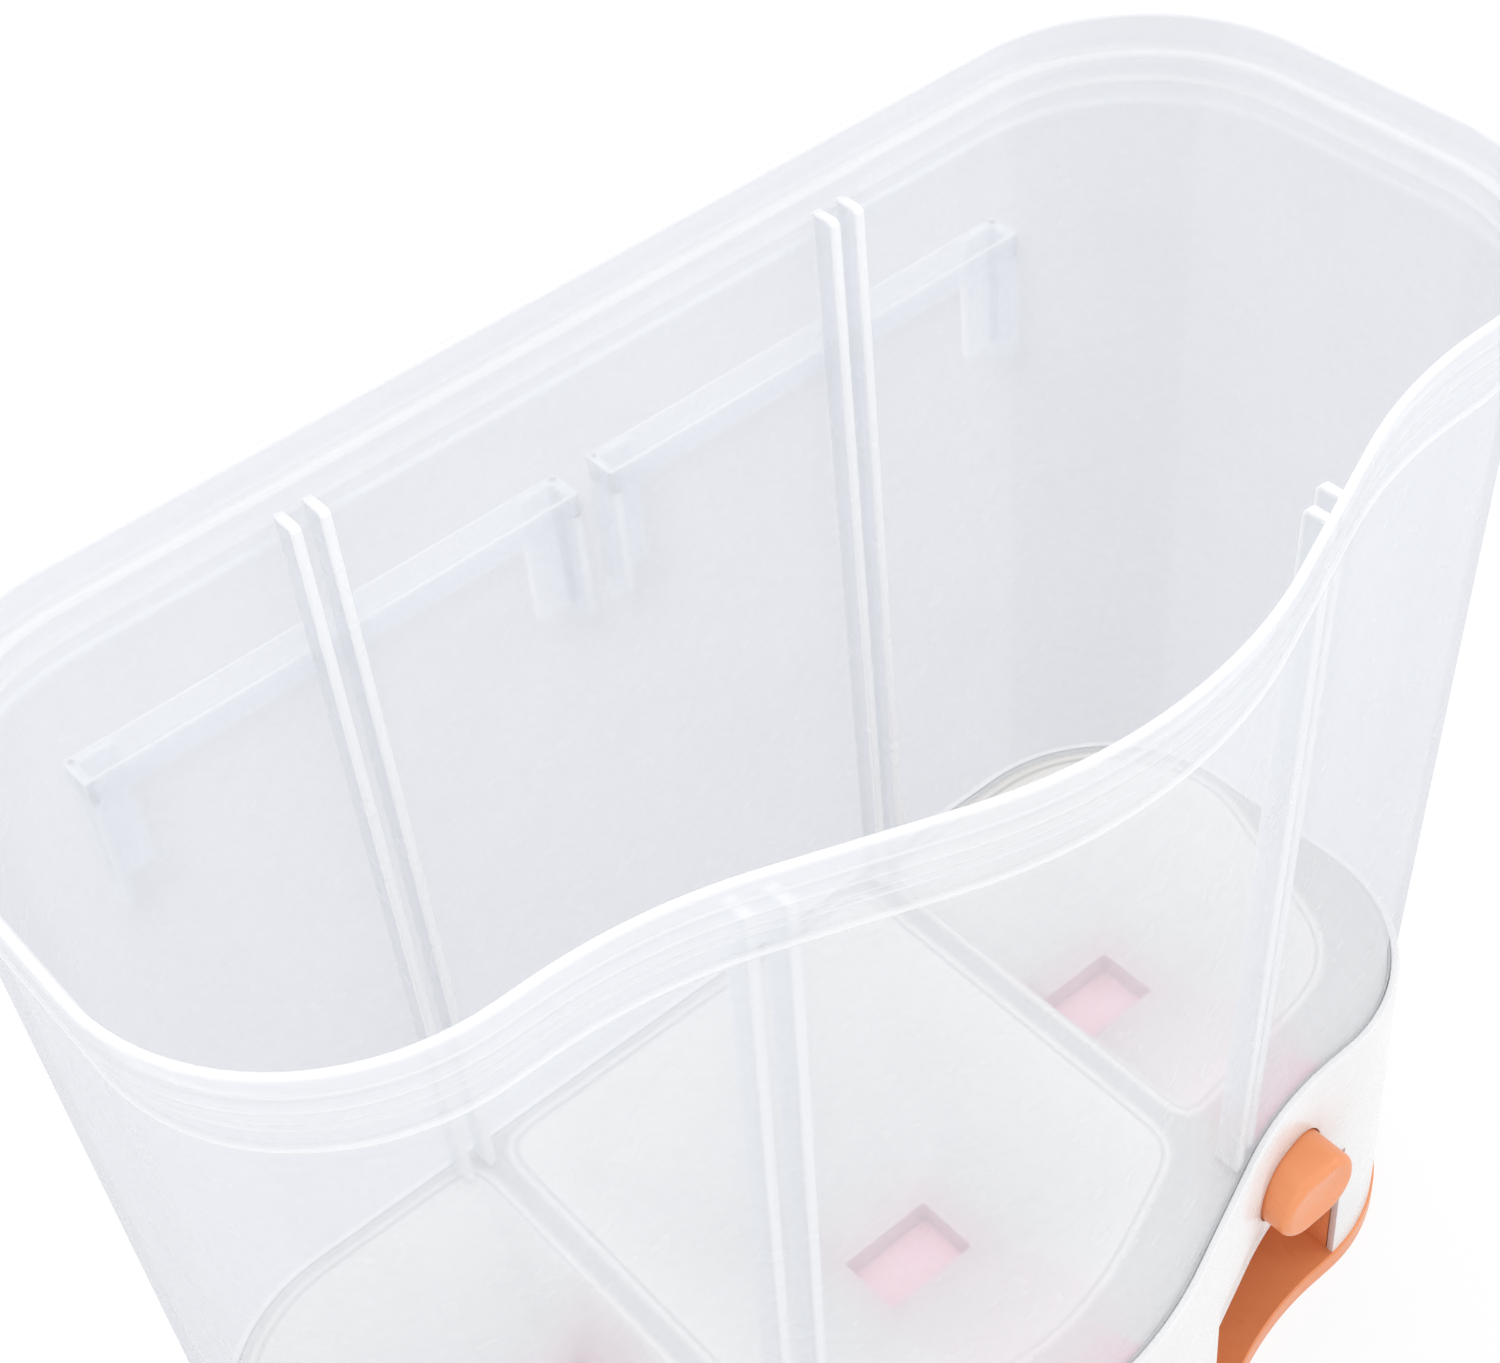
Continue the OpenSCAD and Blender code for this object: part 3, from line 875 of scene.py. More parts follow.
@dataclass(frozen=True)
class Tank:
    """The milky tank: wall and collar, divider guides and hanger seats."""

    plan: Plan
    wall: float = 2.0
    foot_t: float = 0.35
    clear: float = -0.6
    wall_heights: tuple[float, ...] = (120, 150, 180, 210, 240, 265, 276)
    foot_z: float = 78.0
    guide_x: float = 63.0
    guide_slot: float = 4.0
    fin_t: float = 2.2
    fin_reach: float = 5.5
    fin_top: float = 287.0
    fin_foot: float = 91.0
    fin_root: float = 1.0
    seat_w: float = 111.0
    seat_gap: float = 8.0
    seat_h: float = 37.0
    seat_drop: float = 47.0
    seat_proud: float = 5.0
    seat_t: float = 2.0
    seat_lip: float = 10.0
    seat_bar: float = 6.0
    seat_point: float = 5.0

    def section(self) -> list[tuple[float, float, float]]:
        """Section through the wall as (height, growth, thickness share), outside first.

        Returns:
            The rows of the section.
        """
        foot, seam, clear = self.foot_z, self.plan.base_h, self.clear
        rows = [(foot, -0.1, clear), (foot + 0.1, 0.0, clear), (seam - 2.5, 0.0, clear),
                (seam - 1.5, 0.0, 1.0), (seam, 0.0, 1.0), (seam + 0.5, 0.0, 0.0)]
        rows += [(z, 0.0, 0.0) for z in self.wall_heights]
        # Collar outside: bead, three steps, groove and rounded top edge.
        rows += [(279.0, 0.0, 0.1), (279.3, 0.7, 0.7), (280.0, 1.0, 0.9), (280.7, 0.7, 0.7), (281.0, 0.0, 0.2),
                 (284.8, 0.1, 0.1), (285.1, 0.9, 0.45), (285.6, 1.15, 0.45), (286.4, 1.15, 0.2),
                 (287.8, 1.2, 0.2), (288.1, 1.7, 0.45), (288.5, 1.9, 0.45), (289.2, 1.9, 0.2),
                 (291.2, 1.95, 0.2), (291.6, 2.35, 0.55), (292.0, 2.5, 0.55), (292.8, 2.5, 0.2),
                 (294.9, 2.5, 0.2), (295.2, 2.15, 0.4), (295.8, 2.15, 0.4), (296.1, 2.5, 0.4),
                 (296.6, 2.5, 0.2), (299.0, 2.5, 0.3), (299.8, 2.3, 0.9), (300.0, 1.9, 0.9),
                 (300.0, 1.1, 0.9), (299.8, 0.7, 0.9), (299.0, 0.5, 0.3)]
        # Collar inside, with the ledge that a lid rests on.
        rows += [(293.0, 0.5, 0.1), (292.3, 0.3, 0.45), (291.9, -0.4, 0.6), (291.7, -1.0, 0.6),
                 (291.2, -1.2, 0.45), (290.7, -1.22, 0.15), (287.2, -1.35, 0.15), (286.6, -1.5, 0.4),
                 (286.2, -1.9, 0.4), (285.6, -2.0, 0.1)]
        rows += [(z, -self.wall, 0.0) for z in (*reversed(self.wall_heights), seam + 0.1)]
        return rows + [(seam + 0.02, -self.wall, clear), (seam + 0.02, -self.foot_t, 0.6),
                       (seam - 1.5, -self.foot_t, 1.0), (seam - 2.5, -self.foot_t, clear),
                       (foot + 0.1, -self.foot_t, clear), (foot, 0.1 - self.foot_t, clear)]

    def build_shell(self) -> Object:
        """The wall with its collar, beads and inner ledge.

        Returns:
            The shell.
        """
        bm = bmesh.new()
        layer = bm.verts.layers.float.new("thick")
        rows = self.section()
        rings = [[(x, y, z) for x, y in self.plan.loop(grow, z)] for z, grow, _ in rows]
        for (_, _, share), ring in zip(rows, ring_mesh(bm, rings, True)):
            for vertex in ring:
                vertex[layer] = share
        return finished(bm, "tank_shell", 60)

    def fin(self, foot_y: float, top_y: float, inward: int) -> Object:
        """One guide fin from the wall's inner face, centred on X = 0.

        Args:
            foot_y: Wall's inner face at the fin's foot.
            top_y: Wall's inner face at the fin's top.
            inward: Sign of Y from the wall into the tank.

        Returns:
            The fin, with its edges rounded.
        """
        bm = bmesh.new()
        back, out = -inward * self.fin_root, inward * self.fin_reach
        prism(bm, [(foot_y + back, self.fin_foot), (foot_y + out, self.fin_foot),
                   (top_y + out, self.fin_top - 1.0), (top_y + out - inward, self.fin_top),
                   (top_y + back, self.fin_top)], -self.fin_t / 2, self.fin_t / 2)
        return edged(bevelled(finished(bm, "guide_fin"), 0.35), 0.8, 1.0, 0.25)

    def build_guides(self) -> list[Object]:
        """Four pairs of fins, two pairs on each long wall.

        Returns:
            The fins of the back and of the front.
        """
        plan, pitch = self.plan, (self.guide_slot + self.fin_t) / 2
        places = [side * self.guide_x + fin * pitch for side in (-1, 1) for fin in (-1, 1)]
        inner_back = plan.y_at(plan.collar_step + self.wall)
        made = [Repeat("repeat_back_fins").make("divider_guides_back", [(x, 0, 0) for x in places],
                                               self.fin(inner_back, inner_back, -1), MILKY_PP)]
        first = self.guide_x - pitch
        foot = plan.front_y(first, self.fin_foot, -self.wall)
        top = plan.front_y(first, self.fin_top, -self.wall)
        shifts = [(x, plan.front_y(x, self.fin_top, -self.wall) - top, 0) for x in places]
        made.append(Repeat("repeat_front_fins").make("divider_guides_front", shifts,
                                                     self.fin(foot, top, 1), MILKY_PP))
        return made

    def build_seats(self) -> Object:
        """Both hanger seats on the back: a bar and two lipped legs each.

        Returns:
            The seats as one piece.
        """
        plan = self.plan
        top = plan.total_h - self.seat_drop
        foot = top - self.seat_h
        low = foot + self.seat_point
        outer, inner = plan.y_at(-self.seat_proud), plan.y_at(plan.collar_step + 0.5)
        bm = bmesh.new()
        for side in (-1, 1):
            near_x, far_x = side * self.seat_gap / 2, side * (self.seat_gap / 2 + self.seat_w)
            xs = sorted((near_x, far_x))
            block(bm, (xs[0], inner, top - self.seat_bar), (xs[1], outer, top))
            for x, way in ((near_x, side), (far_x, -side)):
                web, lip = sorted((x, x + way * self.seat_t)), sorted((x, x + way * self.seat_lip))
                prism(bm, [(inner, low), (outer, foot), (outer, top - 0.3), (inner, top - 0.3)], *web)
                block(bm, (lip[0], outer - self.seat_t, low), (lip[1], outer, top - 0.3))
        return edged(bevelled(finished(bm, "hanger_seats"), 0.3), 0.7, 0.85, 0.0)

    def dress(self) -> None:
        """Builds the tank's pieces and hands them their finish."""
        dress(self.build_shell(), MILKY_PP, "root", ["tank"])
        for guides in self.build_guides():
            dress(guides, MILKY_PP, "root", [])
        dress(self.build_seats(), MILKY_PP, "root", [])


# ---------------------------------------------------------------- hopper floor


@dataclass(frozen=True)
class Mechanism:
    """Where the gates, buttons and chutes stand, shared by all that fits them."""

    plan: Plan
    gate_x: float = 82.0
    chute_x: float = 76.0
    outlet_w: float = 24.0
    outlet_l: float = 16.0
    gate_reach: float = 63.0
    slide_front: float = 12.0
    slide_z: float = 63.3
    slide_t: float = 2.4
    travel: float = 12.0
    panel_g: float = 2.1
    button_w: float = 24.0
    button_h: float = 19.0
    button_round: float = 9.0
    button_proud: float = 10.0
    window_gap: float = 0.5
    mouth_w: float = 58.0
    mouth_h: float = 45.0
    tray_h: float = 6.0

    def x(self, side: Side) -> float:
        """X of a gate and its button."""
        return side.value * self.gate_x

    def face_y(self, side: Side) -> float:
        """Y of the panel's face at a gate."""
        return self.plan.front_y(self.x(side), self.plan.base_h, self.panel_g)

    def button_loop(self, grow: float) -> list[Point2]:
        """Nearly round outline of a button as (x, z) from its middle, grown by a gap.

        Args:
            grow: The gap.

        Returns:
            Its points.
        """
        r = self.button_round + grow
        in_x, in_z = self.button_w / 2 - self.button_round, self.button_h / 2 - self.button_round
        corners = ((in_x, in_z, 90), (in_x, -in_z, 0), (-in_x, -in_z, -90), (-in_x, in_z, -180))
        return [p for cx, cz, start in corners for p in arc(cx, cz, r, start, start - 90, 14)]

    @property
    def button_z(self) -> float:
        """Lower edge of the buttons."""
        return self.slide_z + self.slide_t / 2 - self.button_h / 2


@dataclass(frozen=True)
class HopperFloor:
    """The white floor of the tank with a funnel over each outlet."""

    plan: Plan
    mech: Mechanism
    grow: float = -0.45
    foot_z: float = 78.0
    sheet: float = 2.0
    margin: float = 17.8
    back_margin: float = 3.8
    lip: float = 1.1
    fade: float = 1.6
    back_part: float = 12.0
    ridge_w: float = 8.0
    guide_x: float = 63.0
    land_z: float = 72.0
    throat_z: float = 66.0
    hull_points: int = 120
    mouth_points: int = 132
    # Painted shade: its share on the plate, on the slopes, and how much more towards their foot.
    plate_dim: float = 0.85
    slope_dim: float = 0.1
    foot_dim: float = 0.5
    # Share of the way from the mouth to the outlet, and share of the drop there.
    slope: tuple[Point2, ...] = ((0, 0), (0.015, 0.004), (0.04, 0.02), (0.08, 0.055), (0.3, 0.29), (0.55, 0.55),
                                 (0.8, 0.8), (0.95, 0.965), (1.0, 1.0))

    def mouth(self, side: Side) -> list[Point2]:
        """Upper edge of a funnel, rounded at its corners and evenly spaced.

        Args:
            side: Which funnel.

        Returns:
            Its points.
        """
        x_in, x_out = self.guide_x, self.plan.half_w
        if side is Side.MIDDLE:
            x_in, x_out = self.ridge_w - self.guide_x, self.guide_x - self.ridge_w
        sign = -1 if side is Side.LEFT else 1
        rear = self.mech.face_y(side) + self.mech.gate_reach + self.back_part
        points: list[Point2] = []
        for margin, low_y in ((self.margin, -1e3), (self.back_margin, rear)):
            loop = self.plan.loop(self.grow - margin, self.plan.base_h)
            dense = [p for a, b in zip(loop, loop[1:] + loop[:1]) for p in straight(a, b, 6)]
            points += [p for p in dense if x_in <= sign * p[0] <= x_out and p[1] >= low_y]
        hull = [points[i] for i in geometry.convex_hull_2d(points)]
        return even(rounded(even(hull, self.hull_points), 3), self.mouth_points)

    def outlet(self, side: Side, towards: Sequence[Point2]) -> list[Point2]:
        """Points of the outlet's edge that face a list of points.

        Args:
            side: Which outlet.
            towards: The points that are faced.

        Returns:
            One point on the edge for each.
        """
        cx, cy = self.mech.x(side), self.mech.face_y(side) + self.mech.gate_reach
        half_x, half_y = self.mech.outlet_w / 2, self.mech.outlet_l / 2
        edge = []
        for px, py in towards:
            dx, dy = px - cx, py - cy
            share = min(half_x / max(abs(dx), 1e-9), half_y / max(abs(dy), 1e-9))
            edge.append((cx + dx * share, cy + dy * share))
        return edge

    def build(self) -> Object:
        """The floor as one sheet with its thickness: plate, funnels, throats and skirt.

        Returns:
            The floor.
        """
        top = self.plan.base_h
        outer = self.plan.loop(self.grow, self.foot_z)
        mouths = {side: self.mouth(side) for side in Side}
        lips = {side: grown(mouth, self.lip) for side, mouth in mouths.items()}
        fades = {side: grown(mouth, self.lip + self.fade) for side, mouth in mouths.items()}
        loops = [outer, *fades.values()]
        points = [Vector(p) for loop in loops for p in loop]
        edges, start = [], 0
        for loop in loops:
            edges += [(start + i, start + (i + 1) % len(loop)) for i in range(len(loop))]
            start += len(loop)
        flat = geometry.delaunay_2d_cdt(points, edges, [], 2, 1e-6)
        bm = bmesh.new()
        verts = [bm.verts.new((p.x, p.y, top)) for p in flat[0]]
        for face in flat[2]:
            centre = sum((flat[0][i] for i in face), Vector((0, 0))) / len(face)
            if not any(inside(centre, fades[side]) for side in Side):
                bm.faces.new([verts[i] for i in face])
        ring_mesh(bm, [[(x, y, z) for x, y in outer] for z in (top, top - 0.6, self.foot_z)], False)
        for side, mouth in mouths.items():
            edge = self.outlet(side, mouth)
            rings = [[(x, y, top) for x, y in fades[side]], [(x, y, top + 0.01) for x, y in lips[side]]]
            for share, drop in self.slope:
                rings.append([(m[0] + (e[0] - m[0]) * share, m[1] + (e[1] - m[1]) * share,
                               top + (self.land_z - top) * drop) for m, e in zip(mouth, edge)])
            rings.append([(x, y, self.throat_z) for x, y in edge])
            ring_mesh(bm, rings, False)
        bmesh.ops.remove_doubles(bm, verts=bm.verts, dist=1e-4)
        floor = finished(bm, "hopper_funnels", 28)
        if sum(p.normal.z for p in floor.data.polygons) < 0:
            floor.data.flip_normals()
        thick = floor.modifiers.new("sheet", "SOLIDIFY")
        thick.thickness = self.sheet * MM
        thick.offset = -1
        thick.use_even_offset = False
        return settle(floor, 28)

    def tint(self, place: Point3) -> float:
        """Painted glow: how much of the coloured gate and button is painted as shining through the white floor.

        Args:
            place: A place in millimetres.

        Returns:
            Share of the painted glow.
        """
        x, y, z = place
        reach, half_x = self.mech.gate_reach, self.mech.outlet_w / 2
        # Painted glow around the outlet, over the slide, over the button's end and inside the throat.
        spots = [(0.32, half_x, 9, reach - 8, reach + 8, 8), (0.16, 15, 5, 14, reach, 6),
                 (0.5, half_x, 2, 0, 11, 2)]
        if z < self.land_z - 0.5:
            spots.append((0.6, half_x, 3, reach - 9, reach + 9, 3))
        return max(share * near(x - self.mech.x(side), -half, half, soft_x)
                   * near(y - self.mech.face_y(side), low, high, soft_y)
                   for side in Side for share, half, soft_x, low, high, soft_y in spots)

    def dim(self, place: Point3) -> float:
        """Painted shade of the plate, which is hollow and dark underneath, and of the slopes, darker towards
        their foot.

        Args:
            place: A place in millimetres.

        Returns:
            Share of the painted shade.
        """
        x, y, z = place
        down = self.plan.base_h - z
        if down < -0.005:
            return 0.0
        if down < 0.05:
            return self.plate_dim
        return self.slope_dim + self.foot_dim * min(1.0, down / (self.plan.base_h - self.land_z))

    def dress(self) -> None:
        """Builds the floor, paints its glow from the gates and its shade, and hands it its finish."""
        floor = self.build()
        # Painted glow of the gates and painted shade of the plate and slopes.
        paint(floor, "tint", self.tint)
        paint(floor, "dim", self.dim)
        dress(floor, HOPPER_PP, "root", ["hopper_floor"])


def even(loop: Sequence[Point2], count: int) -> list[Point2]:
    """A closed loop with evenly spaced points.

    Args:
        loop: Points of the loop.
        count: How many points to make.

    Returns:
        The new points.
    """
    closed = [Vector(p) for p in loop] + [Vector(loop[0])]
    steps = [(b - a).length for a, b in zip(closed, closed[1:])]
    total, made, at, used = sum(steps), [], 0, 0.0
    for i in range(count):
        goal = total * i / count
        while used + steps[at] < goal:
            used += steps[at]
            at += 1
        point = closed[at].lerp(closed[at + 1], (goal - used) / max(steps[at], 1e-9))
        made.append((point.x, point.y))
    return made


def rounded(loop: Sequence[Point2], times: int) -> list[Point2]:
    """A closed loop with each point drawn towards its neighbours a few times.

    Args:
        loop: Points of the loop.
        times: How often they are drawn together.

    Returns:
        As many points.
    """
    for _ in range(times):
        count = len(loop)
        loop = [tuple((loop[i - 1][k] + 2 * loop[i][k] + loop[(i + 1) % count][k]) / 4 for k in (0, 1))
                for i in range(count)]
    return list(loop)


def grown(loop: Sequence[Point2], by: float) -> list[Point2]:
    """A closed convex loop moved outwards by a distance.

    Args:
        loop: Points of the loop.
        by: The distance.

    Returns:
        As many points.
    """
    count, centre = len(loop), Vector((sum(p[0] for p in loop), sum(p[1] for p in loop))) / len(loop)
    made = []
    for i, (x, y) in enumerate(loop):
        (ax, ay), (bx, by_) = loop[i - 1], loop[(i + 1) % count]
        normal = Vector((by_ - ay, ax - bx)).normalized()
        normal *= 1 if normal.dot(Vector((x, y)) - centre) > 0 else -1
        made.append((x + normal.x * by, y + normal.y * by))
    return made


def inside(point: Vector, loop: Sequence[Point2]) -> bool:
    """True if a point lies inside a closed loop.

    Args:
        point: The point.
        loop: Points of the loop.

    Returns:
        True if it is inside.
    """
    crossed = False
    for (x0, y0), (x1, y1) in zip(loop, list(loop[1:]) + [loop[0]]):
        if (y0 > point.y) != (y1 > point.y) and point.x < (x1 - x0) * (point.y - y0) / (y1 - y0) + x0:
            crossed = not crossed
    return crossed


# ---------------------------------------------------------------- base


@dataclass(frozen=True)
class Base:
    """The white housing and panel, the orange tray and the screws under it."""

    plan: Plan
    mech: Mechanism
    gap: float = 0.05
    shoulder_z: float = 78.0
    shoulder_t: float = 3.0
    shoulder_in: float = 5.3
    seam_d: float = 86.0
    mouth_inset: float = 8.0
    tray_proud: float = 0.6
    tray_plate: float = 3.0
    tray_rim: float = 4.0
    boss_r: float = 4.5
    boss_h: float = 34.0
    head_r: float = 3.0
    head_h: float = 2.0
    screw_r: float = 1.5
    screw_bite: float = 14.0
    rear_boss_x: float = 58.0
    side_boss_d: float = 62.0
    beyond: float = 200.0
    ahead: float = 110.0
    thread_pitch: float = 0.6
    cross_half: float = 1.7
    cross_t: float = 0.3
    cross_depth: float = 0.8

    def bosses(self) -> tuple[list[Point2], list[Point2]]:
        """Places of the screw bosses on the housing and on the panel.

        Returns:
            The places as (x, y) of each shell.
        """
        plan = self.plan
        rear_y = plan.y_at(plan.collar_step + self.boss_r - 1)
        side_x = plan.half_w * plan.lean(plan.base_h)[0] - self.boss_r + 1
        panel_x = self.mech.chute_x / 2
        panel_y = plan.front_y(panel_x, plan.base_h, 0) + self.boss_r - 1
        side_y = plan.y_at(self.side_boss_d)
        return ([(-self.rear_boss_x, rear_y), (self.rear_boss_x, rear_y), (-side_x, side_y), (side_x, side_y)],
                [(-panel_x, panel_y), (panel_x, panel_y)])

    def rings(self, rows: Sequence[Point2]) -> list[list[Point3]]:
        """The tank's foot outline at each row of (height, growth)."""
        return [[(x, y, z) for x, y in self.plan.loop(grow, self.plan.base_h)] for z, grow in rows]

    def build_skirt(self, name: str) -> Object:
        """The whole shell round the base, with its rounded lip and the shoulder inside.

        Args:
            name: Name of the shell.

        Returns:
            The shell.
        """
        g, low, top, shelf = self.mech.panel_g, self.mech.tray_h, self.plan.base_h, self.shoulder_z
        rows = [(low, g - 0.2), (low + 0.2, g), (30, g), (60, g), (top - 0.9, g), (top - 0.4, g - 0.2),
                (top, g - 0.6), (top, self.gap + 0.12), (top - 0.02, self.gap + 0.05),
                (top - 0.06, self.gap + 0.015), (top - 0.12, self.gap), (shelf, self.gap),
                (shelf, -self.shoulder_in), (shelf - self.shoulder_t, -self.shoulder_in),
                (shelf - self.shoulder_t, self.gap), (low, self.gap)]
        bm = bmesh.new()
        ring_mesh(bm, self.rings(rows), True)
        return finished(bm, name)

    def cutter(self, keep_front: bool) -> Object:
        """What is cut from the shell to leave the housing or the panel.

        Args:
            keep_front: True to leave the panel.

        Returns:
            The cutter.
        """
        seam, far = self.plan.y_at(self.seam_d), self.beyond
        y0, y1 = (seam, far) if keep_front else (-far, seam)
        bm = bmesh.new()
        block(bm, (-far, y0, -5), (far, y1, far))
        return finished(bm, "seam_cutter")

    def openings(self) -> Object:
        """The windows of the buttons and the mouths of the chutes, as one cutter.

        Returns:
            The cutter.
        """
        mech, front = self.mech, -self.ahead
        bm = bmesh.new()
        for side in Side:
            middle_z = mech.button_z + mech.button_h / 2
            rings = [[(mech.x(side) + x, y, middle_z + z) for x, z in mech.button_loop(mech.window_gap)]
                     for y in (front, self.plan.y_at(self.seam_d) - 1)]
            capped(bm, rings)
            x = side.value * mech.chute_x
            rear = self.plan.y_at(self.seam_d + self.mouth_inset)
            block(bm, (x - mech.mouth_w / 2, front, mech.tray_h - 1),
                  (x + mech.mouth_w / 2, rear, mech.tray_h + mech.mouth_h))
        return finished(bm, "front_openings")

    def boss_set(self, name: str, places: Sequence[Point2]) -> Object:
        """Screw bosses of one shell as one mesh.

        Args:
            name: Name of the mesh.
            places: Their middles.

        Returns:
            The bosses.
        """
        bm = bmesh.new()
        for x, y in places:
            cylinder(bm, x, y, self.mech.tray_h, self.mech.tray_h + self.boss_h, self.boss_r)
        return finished(bm, name)

    def build_housing(self) -> Object:
        """The back half of the shell."""
        housing = combine(self.build_skirt("rear_housing"), self.cutter(False), "DIFFERENCE")
        return bevelled(housing, 0.25)

    def build_panel(self) -> Object:
        """The front half of the shell, with its windows and mouths."""
        panel = combine(self.build_skirt("button_panel"), self.cutter(True), "DIFFERENCE")
        return bevelled(combine(panel, self.openings(), "DIFFERENCE"), 0.45)

    def build_tray(self) -> Object:
        """The tray: a plate with a rim round its underside and pockets for the screw heads.

        Returns:
            The tray.
        """
        g = self.mech.panel_g + self.tray_proud
        plate_z, inner = self.mech.tray_h - self.tray_plate, g - self.tray_rim
        rows = [(plate_z, inner), (0.3, inner), (0, inner + 0.3), (0, g - 0.5), (0.5, g),
                (self.mech.tray_h - 0.5, g), (self.mech.tray_h, g - 0.5)]
        bm = bmesh.new()
        capped(bm, self.rings(rows))
        tray = finished(bm, "drip_tray")
        bm = bmesh.new()
        for x, y in [p for group in self.bosses() for p in group]:
            cylinder(bm, x, y, -1, plate_z + 0.01, self.head_r + 0.5)
        return combine(tray, finished(bm, "pockets"), "DIFFERENCE")

    def build_screws(self) -> Object:
        """Six pan-head screws with a cross recess and a thread.

        Returns:
            The screws as one piece.
        """
        bm = bmesh.new()
        seat = self.mech.tray_h - self.tray_plate
        head = seat - self.head_h
        rows = [(head, 0.02), (head, self.head_r - 0.9), (head + 0.25, self.head_r - 0.3),
                (head + 0.8, self.head_r), (seat, self.head_r), (seat, self.screw_r)]
        tip = seat + self.tray_plate + self.screw_bite
        pitch = self.thread_pitch
        for i in range(int((tip - seat - 2) / pitch)):
            z = seat + 1 + i * pitch
            rows += [(z, self.screw_r - 0.25), (z + pitch / 2, self.screw_r)]
        rows += [(tip - 1.2, self.screw_r - 0.3), (tip, 0.05)]
        rings = [[(r * math.cos(a), r * math.sin(a), z) for a in [math.tau * k / 24 for k in range(24)]]
                 for z, r in rows]
        capped(bm, rings)
        screw = finished(bm, "screw")
        bm = bmesh.new()
        for wide, deep in ((self.cross_half, self.cross_t), (self.cross_t, self.cross_half)):
            block(bm, (-wide, -deep, head - 0.5), (wide, deep, head + self.cross_depth))
        combine(screw, finished(bm, "cross"), "DIFFERENCE")
        places = [(x, y, 0.0) for group in self.bosses() for x, y in group]
        return Repeat("repeat_screws").make("tray_screw_set", places, screw, ZINC_STEEL)

    def dress(self) -> None:
        """Builds the base's pieces and hands them their finishes."""
        rear, front = self.bosses()
        for name, places in (("housing_bosses", rear), ("panel_bosses", front)):
            dress(bevelled(self.boss_set(name, places), 0.3), WHITE_ABS, "root", [])
        dress(self.build_housing(), WHITE_ABS, "root", ["base_housing"])
        dress(self.build_panel(), WHITE_ABS, "root", ["front_panel"])
        dress(self.build_tray(), ORANGE_PP, "root", ["base_tray"])
        dress(self.build_screws(), ZINC_STEEL, "root", ["tray_screws"])


# ---------------------------------------------------------------- gates and chutes


@dataclass(frozen=True)
class Gate:
    """One gate: its chute, guide, slide, spring and push button."""

    mech: Mechanism
    side: Side
    roll: float = 2.2
    dish: float = 0.5
    tongue_half_w: float = 5.1
    tongue_l: float = 8.2
    tongue_gap: float = 0.1
    chute_edge: float = 0.4
    slide_edge: float = 0.25

    def build_button(self) -> Object:
        """The button: a nearly round plug with a softly rolled front edge and a shallow thumb dish.

        Returns:
            The button.
        """
        m = self.mech
        face = m.face_y(self.side)
        front, rear = face - m.button_proud, face + m.slide_front
        middle_z = m.button_z + m.button_h / 2
        rows = [(rear, 0.4), (rear - 0.4, 0.0), (face + 4, 0.0), (face - 4, 0.0)]
        rows += [(front + self.roll * (1 - math.sin(a)), self.roll * (1 - math.cos(a)))
                 for a in [math.radians(v) for v in (0, 15, 30, 45, 60, 75, 90)]]
        rings = [[(m.x(self.side) + x, y, middle_z + z) for x, z in m.button_loop(-inset)]
                 for y, inset in rows]
        rings += [[(m.x(self.side) + x * share, front + self.dish * (1 - share ** 2), middle_z + z * share)
                   for x, z in m.button_loop(-self.roll)] for share in (0.85, 0.6, 0.3)]
        bm = bmesh.new()
        capped(bm, rings)
        cap = finished(bm, f"button_cap_{self.side.word}", 50)
        bm = bmesh.new()
        x = m.x(self.side)
        block(bm, (x - self.tongue_half_w, rear - self.tongue_l, m.slide_z - self.tongue_gap),
              (x + self.tongue_half_w, rear + 1, m.slide_z + m.slide_t + self.tongue_gap))
        return combine(cap, finished(bm, "tongue_slot"), "DIFFERENCE")

    def dress(self) -> None:
        """Builds the gate's pieces and hands them their finishes."""
        word, m = self.side.word, self.mech
        body = f"gate_{word}"
        chute = moulded_copy(f"chute_{word}", f"pour_chute_{word}", self.chute_edge)
        dress(chute, ORANGE_PP, "root", [f"chute_{word}"])
        guide = moulded_copy(f"gate_guide_{word}", f"slide_guide_{word}", self.slide_edge)
        # The guide shares the floor's finish, with no painted glow and no painted shade.
        for name in ("tint", "dim"):
            paint(guide, name, lambda place: 0.0)
        dress(guide, HOPPER_PP, "root", [f"gate_guide_{word}"])
        slide = moulded_copy(f"gate_slide_{word}", f"gate_plate_{word}", self.slide_edge)
        dress(slide, GATE_POM, body, [f"gate_slide_{word}"])
        dress(self.build_button(), ORANGE_PP, body, [f"push_button_{word}"])
        low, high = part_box(f"gate_spring_{word}")
        front, rear = low[1] / MM, high[1] / MM
        place = (m.x(self.side), rear, m.slide_z + m.slide_t / 2)
        coil = Coil(f"wind_spring_{word}").make(f"return_spring_{word}", place, rear - front, SPRING_STEEL)
        dress(coil, SPRING_STEEL, "root", [f"gate_spring_{word}"])
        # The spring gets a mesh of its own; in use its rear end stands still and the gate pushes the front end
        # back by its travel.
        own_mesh(coil)


# ---------------------------------------------------------------- studio


